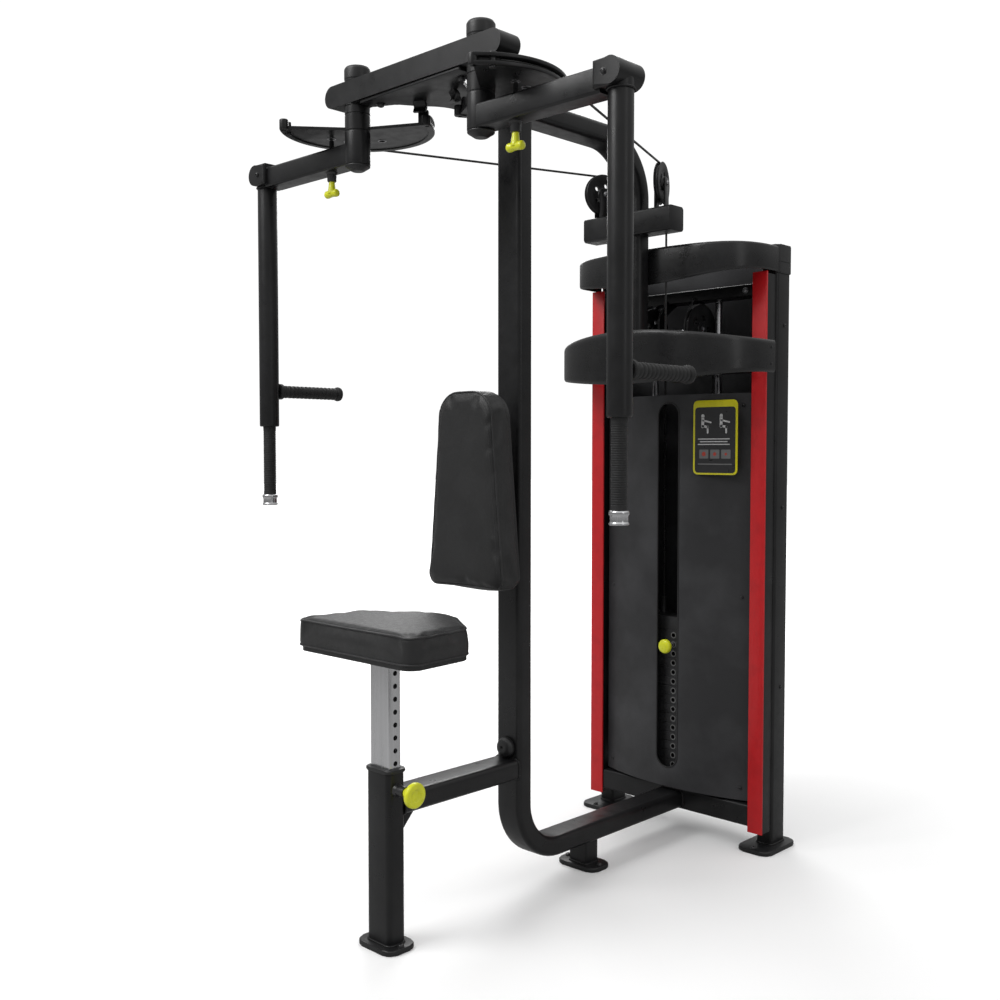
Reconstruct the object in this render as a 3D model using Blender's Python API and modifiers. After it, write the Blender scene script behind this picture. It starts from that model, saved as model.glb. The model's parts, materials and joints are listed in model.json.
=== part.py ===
"""Pec deck machine: a pec fly and rear delt station with a weight stack, built as separate pieces.

Metres, +Z up. The floor is Z = 0, the seat faces -Y, the weight tower stands at +Y, and the machine
is symmetric about the plane X = 0. Left is -X and right is +X.
"""

import math

import bmesh
import bpy
from mathutils import Matrix, Vector

# Driving positions along Y, across X and up Z.
TOWER_Y = 0.505
REAR_TUBE_Y = TOWER_Y - 0.197
MAST_Y = -0.165
PIVOT_Y = -0.486
SEAT_Y = -0.582
PIVOT_X = 0.206
ARM_REACH = 0.578
TOWER_TOP = 1.662

# Flat-oval frame tube: wide across X, thin in the plane that it bends in.
TUBE_WIDE = 0.080
TUBE_THIN = 0.050
TUBE_ROUND = 0.012
BASE_RAIL_Z = 0.095
MAST_TOP = 1.961
REAR_TUBE_Z = 1.936
REAR_TUBE_FOOT = 1.325

# Pivots, cams and arms.
CROSSBAR_BOTTOM = 1.918
CROSSBAR_TOP = 1.970
CROSSBAR_HALF = 0.292
PIVOT_CAP_TOP = 2.006
CROSSBAR_HALF_Y = 0.030
BARREL_R = 0.030
SHAFT_R = 0.0125
BORE_R = 0.0128
CAM_R = 0.182
CAM_CABLE_R = 0.172
CAM_Z = 1.870
CAM_THICK = 0.024
CAM_MIDDLE_ANGLE = math.radians(129)
CAM_HALF_ANGLE = math.radians(101)
CAM_STEPS = 18
CAM_HUB_BOTTOM = 1.8555
CAM_HUB_TOP = 1.8967
ARM_BOTTOM = 1.7795
ARM_TOP = 1.8295
ARM_HALF_Y = 0.0275
END_BLOCK_BOTTOM = 1.786
END_BLOCK_TOP = 1.838
END_BLOCK_OUT = 0.605
END_BLOCK_WIDE = 0.067
END_BLOCK_DEEP = 0.078
ARM_TUBE_R = 0.025
ARM_TUBE_FOOT = 1.170
ROM_PIN_REACH = 0.100
PIN_BOSS_FOOT = 1.757
PULL_BOTTOM = 1.718
PULL_NECK = 1.742

# Cable and pulleys.
CABLE_R = 0.003
TOP_PULLEY_X = 0.100
TOP_PULLEY_Y = TOWER_Y - 0.205
TOP_PULLEY_R = 0.050
TOP_PULLEY_Z = CAM_Z - TOP_PULLEY_R
REDIRECT_R = 0.050
REDIRECT_Z = 1.350
TOWER_PULLEY_R = 0.065
TOWER_PULLEY_Z = 1.450
LIFT_CABLE_TOP = TOWER_PULLEY_Z - 0.012
MID_BEAM_LOW = 1.320
MID_BEAM_HIGH = 1.376
TOP_BEAM_LOW = 1.532
TOP_BEAM_HIGH = 1.566
SHEAVE_WIDE = 0.016
SHEAVE_LIP = 0.006
GROOVE_CLEAR = 0.0015

# Tower and weight stack.
COLUMN_IN = 0.255
COLUMN_OUT = 0.305
COLUMN_BACK = TOWER_Y + 0.115
STACK_Y = TOWER_Y + 0.060
STACK_HALF_X = 0.140
STACK_HALF_Y = 0.055
PLATE_THICK = 0.0265
PLATE_PITCH = 0.0272
LOWER_PLATES = 13
NOTCH_DEPTH = 0.006
NOTCH_HIGH = 0.0012
STACK_BOTTOM = 0.1755
LIFTED_BOTTOM = STACK_BOTTOM + LOWER_PLATES * PLATE_PITCH
HEAD_BOTTOM = LIFTED_BOTTOM + 2 * PLATE_PITCH
PIN_Z = LIFTED_BOTTOM + PLATE_THICK / 2
ROD_X = 0.110
ROD_R = 0.010
SLOT_HALF = 0.0365
REAR_PANEL_TOP = 1.655

# Seat and back pad.
SLEEVE_TOP = 0.397
SEAT_RAIL_TOP = 0.348
SEAT_PIN_Z = 0.360
SEAT_HOLES = 9
SEAT_HOLE_PITCH = 0.0287
POST_HALF_X = 0.0335
POST_HALF_Y = 0.0165
SEAT_PAD_BOTTOM = 0.6555
SEAT_PAD_TOP = 0.7300
SEAT_FRONT = -0.680
BACK_PAD_FACE = TOWER_Y - 0.8466
BACK_PAD_BACK = TOWER_Y - 0.7780

# Every floor plate is this thick, and touching pieces keep this gap.
FOOT_THICK = 0.012
GAP = 0.0003

for leftover in list(bpy.data.objects):
    bpy.data.objects.remove(leftover, do_unlink=True)

machine = bpy.data.collections.new("pec_deck_machine")
cutters = bpy.data.collections.new("cutters")
bpy.context.scene.collection.children.link(machine)
bpy.context.scene.collection.children.link(cutters)


# ---------------------------------------------------------------- materials

def material(name, colour, roughness, metallic=0.0):
    made = bpy.data.materials.new(name)
    made.use_nodes = True
    shader = made.node_tree.nodes["Principled BSDF"]
    shader.inputs["Base Color"].default_value = (*colour, 1.0)
    shader.inputs["Roughness"].default_value = roughness
    shader.inputs["Metallic"].default_value = metallic
    made.diffuse_color = (*colour, 1.0)
    return made


FRAME_BLACK = material("black_powder_coat", (0.016, 0.016, 0.017), 0.38)
PANEL_GREY = material("grey_panel_paint", (0.045, 0.045, 0.047), 0.45)
STRIP_RED = material("red_strip", (0.60, 0.014, 0.020), 0.35)
KNOB_YELLOW = material("yellow_knob", (0.78, 0.80, 0.03), 0.35)
PAD_BLACK = material("black_upholstery", (0.018, 0.018, 0.018), 0.55)
GRIP_BLACK = material("black_rubber", (0.012, 0.012, 0.012), 0.75)
COVER_BLACK = material("black_plastic_cover", (0.020, 0.020, 0.021), 0.32)
CHROME = material("chrome", (0.85, 0.85, 0.86), 0.10, 1.0)
STEEL = material("bright_steel", (0.60, 0.60, 0.62), 0.25, 1.0)
PLATE_IRON = material("weight_plate_iron", (0.022, 0.022, 0.023), 0.50)
CABLE_BLACK = material("coated_cable", (0.012, 0.012, 0.012), 0.35)


# ---------------------------------------------------------------- tools

def link(name, mesh, finish=None, helper=False):
    obj = bpy.data.objects.new(name, mesh)
    (cutters if helper else machine).objects.link(obj)
    if helper:
        obj.hide_render = True
        obj.display_type = "WIRE"
    if finish:
        obj.data.materials.append(finish)
    return obj


def box(name, low, high, finish=None, rounding=0.0, segments=2, helper=False):
    """A box between two corners, with rounded edges; its origin is its middle."""
    low, high = Vector(low), Vector(high)
    mesh = bpy.data.meshes.new(name)
    shape = bmesh.new()
    bmesh.ops.create_cube(shape, size=1.0)
    bmesh.ops.scale(shape, vec=high - low, verts=shape.verts)
    shape.to_mesh(mesh)
    shape.free()
    obj = link(name, mesh, finish, helper)
    obj.location = (low + high) / 2
    if rounding:
        bevel = obj.modifiers.new("rounded_edges", "BEVEL")
        bevel.width = rounding
        bevel.segments = segments
        bevel.limit_method = "NONE"
    return obj


AXIS_TURN = {"X": (0, math.pi / 2, 0), "Y": (-math.pi / 2, 0, 0), "Z": (0, 0, 0)}


def rod(name, radius, start, end, finish=None, axis="Z", sides=16, helper=False):
    """A round bar between two points that differ along one axis only."""
    start, end = Vector(start), Vector(end)
    mesh = bpy.data.meshes.new(name)
    shape = bmesh.new()
    bmesh.ops.create_cone(shape, cap_ends=True, segments=sides, radius1=radius, radius2=radius,
                          depth=(end - start).length)
    shape.to_mesh(mesh)
    shape.free()
    mesh.shade_smooth()
    mesh.set_sharp_from_angle(angle=math.radians(40))
    obj = link(name, mesh, finish, helper)
    obj.location = (start + end) / 2
    obj.rotation_euler = AXIS_TURN[axis]
    return obj


def turned(name, profile, finish=None, place=(0, 0, 0), turn=(0, 0, 0), steps=16, ring=False, helper=False):
    """A turned piece: the profile's (radius, height) points run from the top down its outer side.

    A ring's profile is a closed loop, so the piece has a bore."""
    mesh = bpy.data.meshes.new(name)
    shape = bmesh.new()
    points = [shape.verts.new((radius, 0, height)) for radius, height in profile]
    for first, second in zip(points, points[1:]):
        shape.edges.new((first, second))
    if ring:
        shape.edges.new((points[-1], points[0]))
    shape.to_mesh(mesh)
    shape.free()
    obj = link(name, mesh, finish, helper)
    screw = obj.modifiers.new("turned", "SCREW")
    screw.steps = steps
    screw.render_steps = steps
    screw.use_merge_vertices = True
    screw.merge_threshold = 0.00001
    obj.location = place
    obj.rotation_euler = turn
    return obj


PLANE_TURN = {
    "XY": (0, 0, 0),
    "XZ": (math.pi / 2, 0, 0),
    "YZ": (math.pi / 2, 0, math.pi / 2),
}


def flat(name, outline, thickness, finish=None, plane="XY", place=(0, 0, 0), rounding=0.0, helper=False):
    """A flat outline given thickness about its own plane, turned into a welded mesh."""
    curve = bpy.data.curves.new(name, "CURVE")
    curve.dimensions = "2D"
    curve.fill_mode = "BOTH"
    curve.extrude = thickness / 2 - rounding
    curve.bevel_depth = rounding
    curve.bevel_resolution = 1 if rounding else 0
    curve.offset = -rounding
    spline = curve.splines.new("POLY")
    spline.points.add(len(outline) - 1)
    for point, (across, along) in zip(spline.points, outline):
        point.co = (across, along, 0, 1)
    spline.use_cyclic_u = True
    guide = bpy.data.objects.new(name + "_guide", curve)
    cutters.objects.link(guide)
    guide.location = place
    guide.rotation_euler = PLANE_TURN[plane]
    return made_solid(name, guide, finish, helper)


def made_solid(name, guide, finish, helper=False):
    """The mesh of a curve, welded and facing out; the curve is removed."""
    bpy.context.view_layer.update()
    graph = bpy.context.evaluated_depsgraph_get()
    mesh = bpy.data.meshes.new_from_object(guide.evaluated_get(graph))
    mesh.name = name
    shape = bmesh.new()
    shape.from_mesh(mesh)
    bmesh.ops.remove_doubles(shape, verts=shape.verts, dist=0.00001)
    bmesh.ops.recalc_face_normals(shape, faces=shape.faces)
    shape.to_mesh(mesh)
    shape.free()
    mesh.materials.clear()
    obj = link(name, mesh, finish, helper)
    obj.matrix_world = guide.matrix_world
    bpy.data.objects.remove(guide)
    return obj


def wire(name, route, radius, finish):
    """A cable along a list of points, with capped ends."""
    curve = bpy.data.curves.new(name, "CURVE")
    curve.dimensions = "3D"
    curve.bevel_depth = radius
    curve.bevel_resolution = 1
    curve.use_fill_caps = True
    spline = curve.splines.new("POLY")
    spline.points.add(len(route) - 1)
    for point, place in zip(spline.points, route):
        point.co = (*place, 1)
    obj = bpy.data.objects.new(name, curve)
    machine.objects.link(obj)
    curve.materials.append(finish)
    return obj


def sheet(name, columns, thickness, finish):
    """A bent sheet: each column is an (x, y, low z, high z) line, with its inner side at +Y."""
    mesh = bpy.data.meshes.new(name)
    shape = bmesh.new()
    lines = [(shape.verts.new((x, y, low)), shape.verts.new((x, y, high))) for x, y, low, high in columns]
    for (low_a, high_a), (low_b, high_b) in zip(lines, lines[1:]):
        shape.faces.new((low_a, low_b, high_b, high_a))
    shape.to_mesh(mesh)
    shape.free()
    mesh.shade_smooth()
    obj = link(name, mesh, finish)
    solid = obj.modifiers.new("sheet_thickness", "SOLIDIFY")
    solid.thickness = thickness
    solid.offset = -1
    solid.use_even_offset = True
    return obj


def cut(obj, tool):
    step = obj.modifiers.new("cut_" + tool.name, "BOOLEAN")
    step.operation = "DIFFERENCE"
    step.object = tool


def weld(obj, tool):
    step = obj.modifiers.new("weld_" + tool.name, "BOOLEAN")
    step.operation = "UNION"
    step.object = tool


def hole(obj, radius, start, end, axis="Z", sides=16):
    cut(obj, rod(f"{obj.name}_hole_{len(obj.modifiers)}", radius, start, end, axis=axis, sides=sides, helper=True))


def arc(centre, radius, start, end, count):
    """Points from one angle to another, ends included; angles are in radians."""
    steps = [start + (end - start) * index / count for index in range(count + 1)]
    return [(centre[0] + radius * math.cos(turn), centre[1] + radius * math.sin(turn)) for turn in steps]


def rounded_rectangle(half_x, half_y, radius, count=3):
    corners = [(1, 1, 0), (-1, 1, 1), (-1, -1, 2), (1, -1, 3)]
    outline = []
    for side_x, side_y, quarter in corners:
        centre = (side_x * (half_x - radius), side_y * (half_y - radius))
        outline += arc(centre, radius, quarter * math.pi / 2, (quarter + 1) * math.pi / 2, count)
    return outline


def sheave_profile(radius, bore=0.0, wide=SHEAVE_WIDE):
    """A grooved pulley whose cable runs at the given radius."""
    rim = radius + SHEAVE_LIP
    floor = radius - CABLE_R - GROOVE_CLEAR
    half = wide / 2
    return [(bore, half), (rim, half), (rim, half - 0.002), (floor, 0.0035),
            (floor, -0.0035), (rim, 0.002 - half), (rim, -half), (bore, -half)]


# ---------------------------------------------------------------- main frame

def bent_strip(centre_line, half):
    """The outline of a strip of the given half width along a line of (y, z) points."""
    left, right = [], []
    for index, point in enumerate(centre_line):
        before = centre_line[max(index - 1, 0)]
        after = centre_line[min(index + 1, len(centre_line) - 1)]
        along = Vector((after[0] - before[0], after[1] - before[1])).normalized()
        left.append((point[0] - along.y * half, point[1] + along.x * half))
        right.append((point[0] + along.y * half, point[1] - along.x * half))
    return left + right[::-1]


def mast_and_base_rail():
    """One bent tube: along the floor from the tower, round a large bend and up as the mast."""
    bend = 0.135
    line = [(TOWER_Y - GAP, BASE_RAIL_Z)]
    line += arc((MAST_Y + bend, BASE_RAIL_Z + bend), bend, -math.pi / 2, -math.pi, 10)
    line += [(MAST_Y, MAST_TOP)]
    flat("mast_tube", bent_strip(line, TUBE_THIN / 2), TUBE_WIDE, FRAME_BLACK, "YZ", rounding=TUBE_ROUND)


def rear_top_tube():
    """From the back of the mast's top, along and down in front of the tower."""
    bend = 0.150
    line = [(MAST_Y + TUBE_THIN / 2 + GAP, REAR_TUBE_Z)]
    line += arc((REAR_TUBE_Y - bend, REAR_TUBE_Z - bend), bend, math.pi / 2, 0, 10)
    line += [(REAR_TUBE_Y, REAR_TUBE_FOOT)]
    flat("rear_top_tube", bent_strip(line, TUBE_THIN / 2), TUBE_WIDE, FRAME_BLACK, "YZ", rounding=TUBE_ROUND)


def crossbar():
    """The bar that holds both pivots, half round at its ends seen from the front, with a boss under each pivot."""
    round_r = (CROSSBAR_TOP - CROSSBAR_BOTTOM) / 2
    outline = arc((CROSSBAR_HALF - round_r, 0), round_r, -math.pi / 2, math.pi / 2, 10)
    outline += arc((round_r - CROSSBAR_HALF, 0), round_r, math.pi / 2, 3 * math.pi / 2, 10)
    bar = flat("crossbar", outline, 2 * CROSSBAR_HALF_Y, FRAME_BLACK, "XZ",
               place=(0, PIVOT_Y, CROSSBAR_BOTTOM + round_r), rounding=0.010)
    for side in (-1, 1):
        x = side * PIVOT_X
        boss = rod(f"pivot_boss_{side}", BARREL_R - 0.001, (x, PIVOT_Y, CAM_HUB_TOP + GAP),
                   (x, PIVOT_Y, CROSSBAR_BOTTOM + 0.012), helper=True)
        weld(bar, boss)
    for side in (-1, 1):
        x = side * PIVOT_X
        hole(bar, BORE_R, (x, PIVOT_Y, CAM_HUB_BOTTOM), (x, PIVOT_Y, CROSSBAR_TOP + 0.01))


def stop_place(side):
    """Where each cam's rest stop hangs, beside the lug on the cam's rear tip."""
    turn = math.radians(23.2)
    reach = 0.162
    return side * (PIVOT_X - reach * math.cos(turn)), PIVOT_Y + reach * math.sin(turn), -side * turn


def crossbar_bracket():
    """The plate under the crossbar that ties it to the mast, with the two cam stops."""
    front = PIVOT_Y - 0.026
    back = MAST_Y - TUBE_THIN / 2 - GAP
    right = [(0.168, front), (0.168, PIVOT_Y + 0.012), (0.110, PIVOT_Y + 0.040)]
    right += arc((0.140, PIVOT_Y + 0.170), 0.100, math.radians(-128), math.radians(-180), 6)
    right += [(0.040, back)]
    outline = right + [(-x, y) for x, y in reversed(right)]
    top = CROSSBAR_BOTTOM - GAP
    plate = flat("crossbar_bracket", outline, 0.008, FRAME_BLACK, place=(0, 0, top - 0.004))
    for side in (-1, 1):
        x, y, turn = stop_place(side)
        block = box(f"cam_stop_{side}", (-0.015, -0.011, -0.014), (0.015, 0.011, 0.014), helper=True)
        block.location = (x, y, top - 0.018)
        block.rotation_euler = (0, 0, turn)
        weld(plate, block)


def pivot_shaft(name, side):
    """The fixed shaft that the cam and the arm turn on, with its top cap and its bottom nut."""
    nut_top = ARM_BOTTOM - 2 * GAP
    profile = [(0, PIVOT_CAP_TOP), (0.027, PIVOT_CAP_TOP), (0.031, PIVOT_CAP_TOP - 0.006), (0.031, CROSSBAR_TOP + GAP),
               (SHAFT_R, CROSSBAR_TOP + GAP), (SHAFT_R, nut_top), (BARREL_R, nut_top),
               (BARREL_R, nut_top - 0.003), (0.012, nut_top - 0.014), (0, nut_top - 0.014)]
    turned(name, profile, STEEL, place=(side * PIVOT_X, PIVOT_Y, 0))


# ---------------------------------------------------------------- seat support

def foot_plate(name, place, half_x, half_y):
    flat(name, rounded_rectangle(half_x, half_y, 0.022), FOOT_THICK, COVER_BLACK,
         place=(place[0], place[1], FOOT_THICK / 2), rounding=0.003)


def seat_sleeve():
    """The hollow upright that the seat post slides in, with its pin boss and its gusset."""
    sleeve = box("seat_sleeve", (-TUBE_WIDE / 2, SEAT_Y - TUBE_THIN / 2, FOOT_THICK + GAP),
                 (TUBE_WIDE / 2, SEAT_Y + TUBE_THIN / 2, SLEEVE_TOP), FRAME_BLACK, TUBE_ROUND, 3)
    boss = rod("seat_pin_boss", 0.012, (0.0345, SEAT_Y, SEAT_PIN_Z), (0.068, SEAT_Y, SEAT_PIN_Z),
               axis="X", helper=True)
    rear = SEAT_Y + TUBE_THIN / 2
    gusset = flat("seat_gusset", [(rear - 0.004, 0.235), (rear + 0.055, 0.2975), (rear - 0.004, 0.2975)],
                  0.008, plane="YZ", helper=True)
    weld(sleeve, boss)
    weld(sleeve, gusset)
    cut(sleeve, box("sleeve_bore", (-0.0345, SEAT_Y - 0.0175, 0.030), (0.0345, SEAT_Y + 0.0175, 0.41),
                    helper=True))
    hole(sleeve, 0.0065, (0.030, SEAT_Y, SEAT_PIN_Z), (0.075, SEAT_Y, SEAT_PIN_Z), axis="X")


def seat_collar():
    collar = flat("seat_collar", [(x, y + SEAT_Y) for x, y in rounded_rectangle(0.043, 0.028, 0.013)],
                  0.008, COVER_BLACK, place=(0, 0, SLEEVE_TOP + GAP + 0.004), rounding=0.002)
    cut(collar, box("collar_bore", (-0.0340, SEAT_Y - 0.0170, 0.39), (0.0340, SEAT_Y + 0.0170, 0.42),
                    helper=True))


def seat_rail():
    """The tube that ties the seat sleeve to the mast."""
    box("seat_rail", (-TUBE_WIDE / 2, SEAT_Y + TUBE_THIN / 2 + GAP, SEAT_RAIL_TOP - TUBE_THIN),
        (TUBE_WIDE / 2, MAST_Y - TUBE_THIN / 2 - GAP, SEAT_RAIL_TOP), FRAME_BLACK, TUBE_ROUND, 3)


def mast_foot():
    """The short post and floor plate under the base rail."""
    middle = TOWER_Y - 0.400
    foot_plate("mast_foot", (0, middle), 0.065, 0.040)
    post = box("mast_foot_post", (-0.030, middle - 0.025, FOOT_THICK / 2),
               (0.030, middle + 0.025, BASE_RAIL_Z - TUBE_THIN / 2 - GAP), helper=True)
    weld(bpy.data.objects["mast_foot"], post)


def seat_post():
    """The chrome post with its row of pin holes and the plate under the seat pad."""
    post = box("seat_post", (-POST_HALF_X, SEAT_Y - POST_HALF_Y, 0.215),
               (POST_HALF_X, SEAT_Y + POST_HALF_Y, 0.652), CHROME, 0.004, 2)
    weld(post, box("seat_plate", (-0.100, SEAT_Y - 0.060, 0.650), (0.100, SEAT_Y + 0.090, 0.655), helper=True))
    for step in range(SEAT_HOLES):
        height = SEAT_PIN_Z + SEAT_HOLE_PITCH * step
        hole(post, 0.0055, (POST_HALF_X - 0.012, SEAT_Y, height), (POST_HALF_X + 0.004, SEAT_Y, height),
             axis="X", sides=8)


def seat_pin():
    """The sprung pin with its disc knob; its tip waits just short of the post."""
    tip = POST_HALF_X + GAP
    profile = [(0, 0.104), (0.026, 0.104), (0.028, 0.102), (0.028, 0.092), (0.026, 0.090), (0.010, 0.086),
               (0.010, 0.0685), (0.0058, 0.0685), (0.0058, tip), (0, tip)]
    turned("seat_pin", profile, KNOB_YELLOW, place=(0, SEAT_Y, SEAT_PIN_Z), turn=AXIS_TURN["X"])


def seat_pad():
    """A five-sided pad, wide in front and pointed towards the mast."""
    side = 0.197
    rear_side = 0.185
    rear_y = SEAT_FRONT + 0.185
    outline = arc((side - 0.035, SEAT_FRONT + 0.035), 0.035, -math.pi / 2, 0, 4)
    outline += [(rear_side, rear_y - 0.02), (rear_side - 0.010, rear_y)]
    outline += [(0.040, SEAT_FRONT + 0.280)]
    outline += [(-x, y) for x, y in reversed(outline)]
    flat("seat_pad", outline, SEAT_PAD_TOP - SEAT_PAD_BOTTOM, PAD_BLACK,
         place=(0, 0, (SEAT_PAD_TOP + SEAT_PAD_BOTTOM) / 2), rounding=0.012)


def back_pad():
    """A tapered pad with a round top, wider at its bottom."""
    bottom, top = 0.784, 1.246
    outline = arc((0.125 - 0.030, bottom + 0.030), 0.030, -math.pi / 2, 0, 4)
    outline += arc((0.0905 - 0.070, top - 0.070), 0.070, math.radians(8), math.pi / 2, 6)
    outline += [(-x, z) for x, z in reversed(outline)]
    flat("back_pad", outline, BACK_PAD_BACK - BACK_PAD_FACE, PAD_BLACK, "XZ",
         place=(0, (BACK_PAD_BACK + BACK_PAD_FACE) / 2, 0), rounding=0.012)


def back_pad_plate():
    """The board behind the back pad and the block that carries it on the mast."""
    board_front = BACK_PAD_BACK + GAP
    board = box("back_pad_plate", (-0.070, board_front, 0.850), (0.070, board_front + 0.006, 1.170),
                FRAME_BLACK)
    weld(board, box("pad_block", (-0.025, board_front + 0.003, 0.980),
                    (0.025, MAST_Y - TUBE_THIN / 2 - GAP, 1.035), helper=True))


# ---------------------------------------------------------------- tower

def column(name, side):
    """A tower upright: a square tube at the back and a slimmer rail that carries the red strip."""
    low_x, high_x = sorted((side * COLUMN_IN, side * COLUMN_OUT))
    post = box(name, (low_x, TOWER_Y + 0.046, FOOT_THICK + GAP), (high_x, COLUMN_BACK, 1.590), FRAME_BLACK, 0.008)
    weld(post, box(name + "_rail", (low_x + 0.005, TOWER_Y + 0.002, 0.052),
                   (high_x - 0.005, TOWER_Y + 0.060, 1.585), helper=True))


def column_cap(name, side):
    low_x, high_x = sorted((side * (COLUMN_IN - 0.002), side * (COLUMN_OUT + 0.003)))
    box(name, (low_x, TOWER_Y + 0.046, 1.590 + GAP), (high_x, COLUMN_BACK + 0.003, TOWER_TOP + 0.006),
        COVER_BLACK, 0.010)


def tower_foot(name, side):
    foot_plate(name, (side * 0.280, TOWER_Y + 0.060), 0.050, 0.080)


def red_strip(name, side):
    middle = side * 0.280
    box(name, (middle - 0.023, TOWER_Y - 0.004, 0.052), (middle + 0.023, TOWER_Y + 0.002 - GAP, 1.590),
        STRIP_RED, 0.0015, 1)


def bulge_line(half_x, base_y, depth, power, count):
    """Points of a forward bulge between X = -half and +half, close to a flattened half circle."""
    line = []
    for index in range(count + 1):
        turn = math.pi * index / count
        across = -math.copysign(abs(math.cos(turn)) ** (2 / power), math.cos(turn)) * half_x
        line.append((across, base_y - abs(math.sin(turn)) ** (2 / power) * depth))
    return line


def bowed(across, half_x, end, middle):
    """A height that runs from one value at the ends to another in the middle."""
    return end + (middle - end) * math.cos(math.pi / 2 * across / half_x)


def top_shroud():
    """The curved cover round the tower's top, with its lid."""
    half = 0.3085
    line = bulge_line(half, TOWER_Y + 0.043, 0.211, 3.0, 18)
    columns = [(x, y, bowed(x, half, 1.5935, 1.562), TOWER_TOP) for x, y in line]
    cover = sheet("top_shroud", columns, 0.003, COVER_BLACK)
    inset = [(x * 0.994, y + 0.0015) for x, y in line]
    lid = flat("top_lid", inset, 0.003, place=(0, 0, TOWER_TOP - 0.0016), helper=True)
    weld(cover, lid)
    for side in (-1, 1):
        x, y = cable_fall(side)
        hole(cover, 0.006, (x, y, TOWER_TOP - 0.02), (x, y, TOWER_TOP + 0.02), sides=12)


def belt_shroud():
    """The band that bulges out in front of the strips round the rear tube's foot."""
    half = 0.333
    line = bulge_line(half, TOWER_Y - 0.008, 0.231, 2.5, 18)
    columns = [(x, y, bowed(x, half, 1.316, 1.289), bowed(x, half, 1.402, 1.434)) for x, y in line]
    sheet("belt_shroud", columns, 0.004, COVER_BLACK)


def front_panel():
    """The bowed front panel with its long round-ended slot."""
    half, edge_y, bow = 0.2527, TOWER_Y + 0.020, 0.047
    low, high = 0.131, 1.266
    count = 16
    columns = []
    for index in range(count + 1):
        x = -half + 2 * half * index / count
        columns.append((x, edge_y - bow * (1 - (x / half) ** 2), low, high))
    panel = sheet("front_panel", columns, 0.003, PANEL_GREY)
    slot_low, slot_high = 0.180 + SLOT_HALF, 1.245 - SLOT_HALF
    outline = arc((0, slot_high), SLOT_HALF, 0, math.pi, 10)
    outline += arc((0, slot_low), SLOT_HALF, math.pi, 2 * math.pi, 10)
    cut(panel, flat("panel_slot", outline, 0.12, plane="XZ", place=(0, TOWER_Y, 0), helper=True))


def rear_panel():
    """The bowed cover behind the weight stack."""
    half, edge_y, bow = 0.2527, TOWER_Y + 0.095, 0.080
    count = 12
    columns = []
    for index in range(count + 1):
        x = half - 2 * half * index / count
        columns.append((x, edge_y + bow * (1 - (x / half) ** 2), 0.131, REAR_PANEL_TOP))
    sheet("rear_panel", columns, 0.003, PANEL_GREY)


def base_beam():
    """The box across the tower's foot, with the pads that the weight stack rests on."""
    reach = COLUMN_IN - GAP
    beam = box("base_beam", (-reach, TOWER_Y, 0.065), (reach, TOWER_Y + 0.110, 0.125), FRAME_BLACK, 0.004)
    for side in (-1, 1):
        x = side * ROD_X
        weld(beam, rod(f"stack_pad_{side}", 0.022, (x, STACK_Y, 0.115), (x, STACK_Y, STACK_BOTTOM - GAP),
                       sides=16, helper=True))
    for side in (-1, 1):
        x = side * ROD_X
        hole(beam, ROD_R + GAP, (x, STACK_Y, 0.100), (x, STACK_Y, 0.2), sides=16)


def top_beam():
    """The beam across the tower's top, with the two hangers of the tower pulleys."""
    reach = COLUMN_IN - GAP
    beam = box("top_beam", (-reach, TOWER_Y + 0.030, TOP_BEAM_LOW), (reach, TOWER_Y + 0.085, TOP_BEAM_HIGH),
               FRAME_BLACK, 0.004)
    pulley_y = tower_pulley_y()
    for side in (-1, 1):
        low_x, high_x = sorted((side * 0.045, side * 0.053))
        weld(beam, box(f"hanger_{side}", (low_x, pulley_y - 0.018, TOWER_PULLEY_Z - 0.022),
                       (high_x, TOWER_Y + 0.050, TOP_BEAM_LOW + 0.008), helper=True))
    hole(beam, 0.0084, (-0.07, pulley_y, TOWER_PULLEY_Z), (0.07, pulley_y, TOWER_PULLEY_Z), axis="X", sides=20)


def mid_beam():
    """The beam that carries the rear tube's foot and the redirect pulleys' axle."""
    reach = COLUMN_IN - GAP
    beam = box("mid_beam", (-reach, TOWER_Y - 0.036, MID_BEAM_LOW), (reach, TOWER_Y + 0.030, MID_BEAM_HIGH),
               FRAME_BLACK, 0.004)
    weld(beam, box("mid_arm", (-0.030, REAR_TUBE_Y + TUBE_THIN / 2 + GAP, MID_BEAM_LOW + 0.004),
                   (0.030, TOWER_Y - 0.020, MID_BEAM_HIGH - 0.004), helper=True))
    y = cable_fall(1)[1] + REDIRECT_R
    hole(beam, 0.0084, (-0.05, y, REDIRECT_Z), (0.05, y, REDIRECT_Z), axis="X", sides=20)


def guide_rod(name, side):
    x = side * ROD_X
    rod(name, ROD_R, (x, STACK_Y, 0.1003), (x, STACK_Y, TOP_BEAM_LOW - GAP), STEEL, sides=16)


def placard():
    """The small sign that is fixed to the front panel, to the right of the slot."""
    half_x, low, high, x = 0.072, 1.040, 1.247, 0.158
    outline = [(across + x, up + (low + high) / 2)
               for across, up in rounded_rectangle(half_x, (high - low) / 2, 0.014)]
    flat("placard", outline, 0.003, KNOB_YELLOW, "XZ", place=(0, TOWER_Y - 0.0272, 0))


# ---------------------------------------------------------------- weight stack

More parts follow.
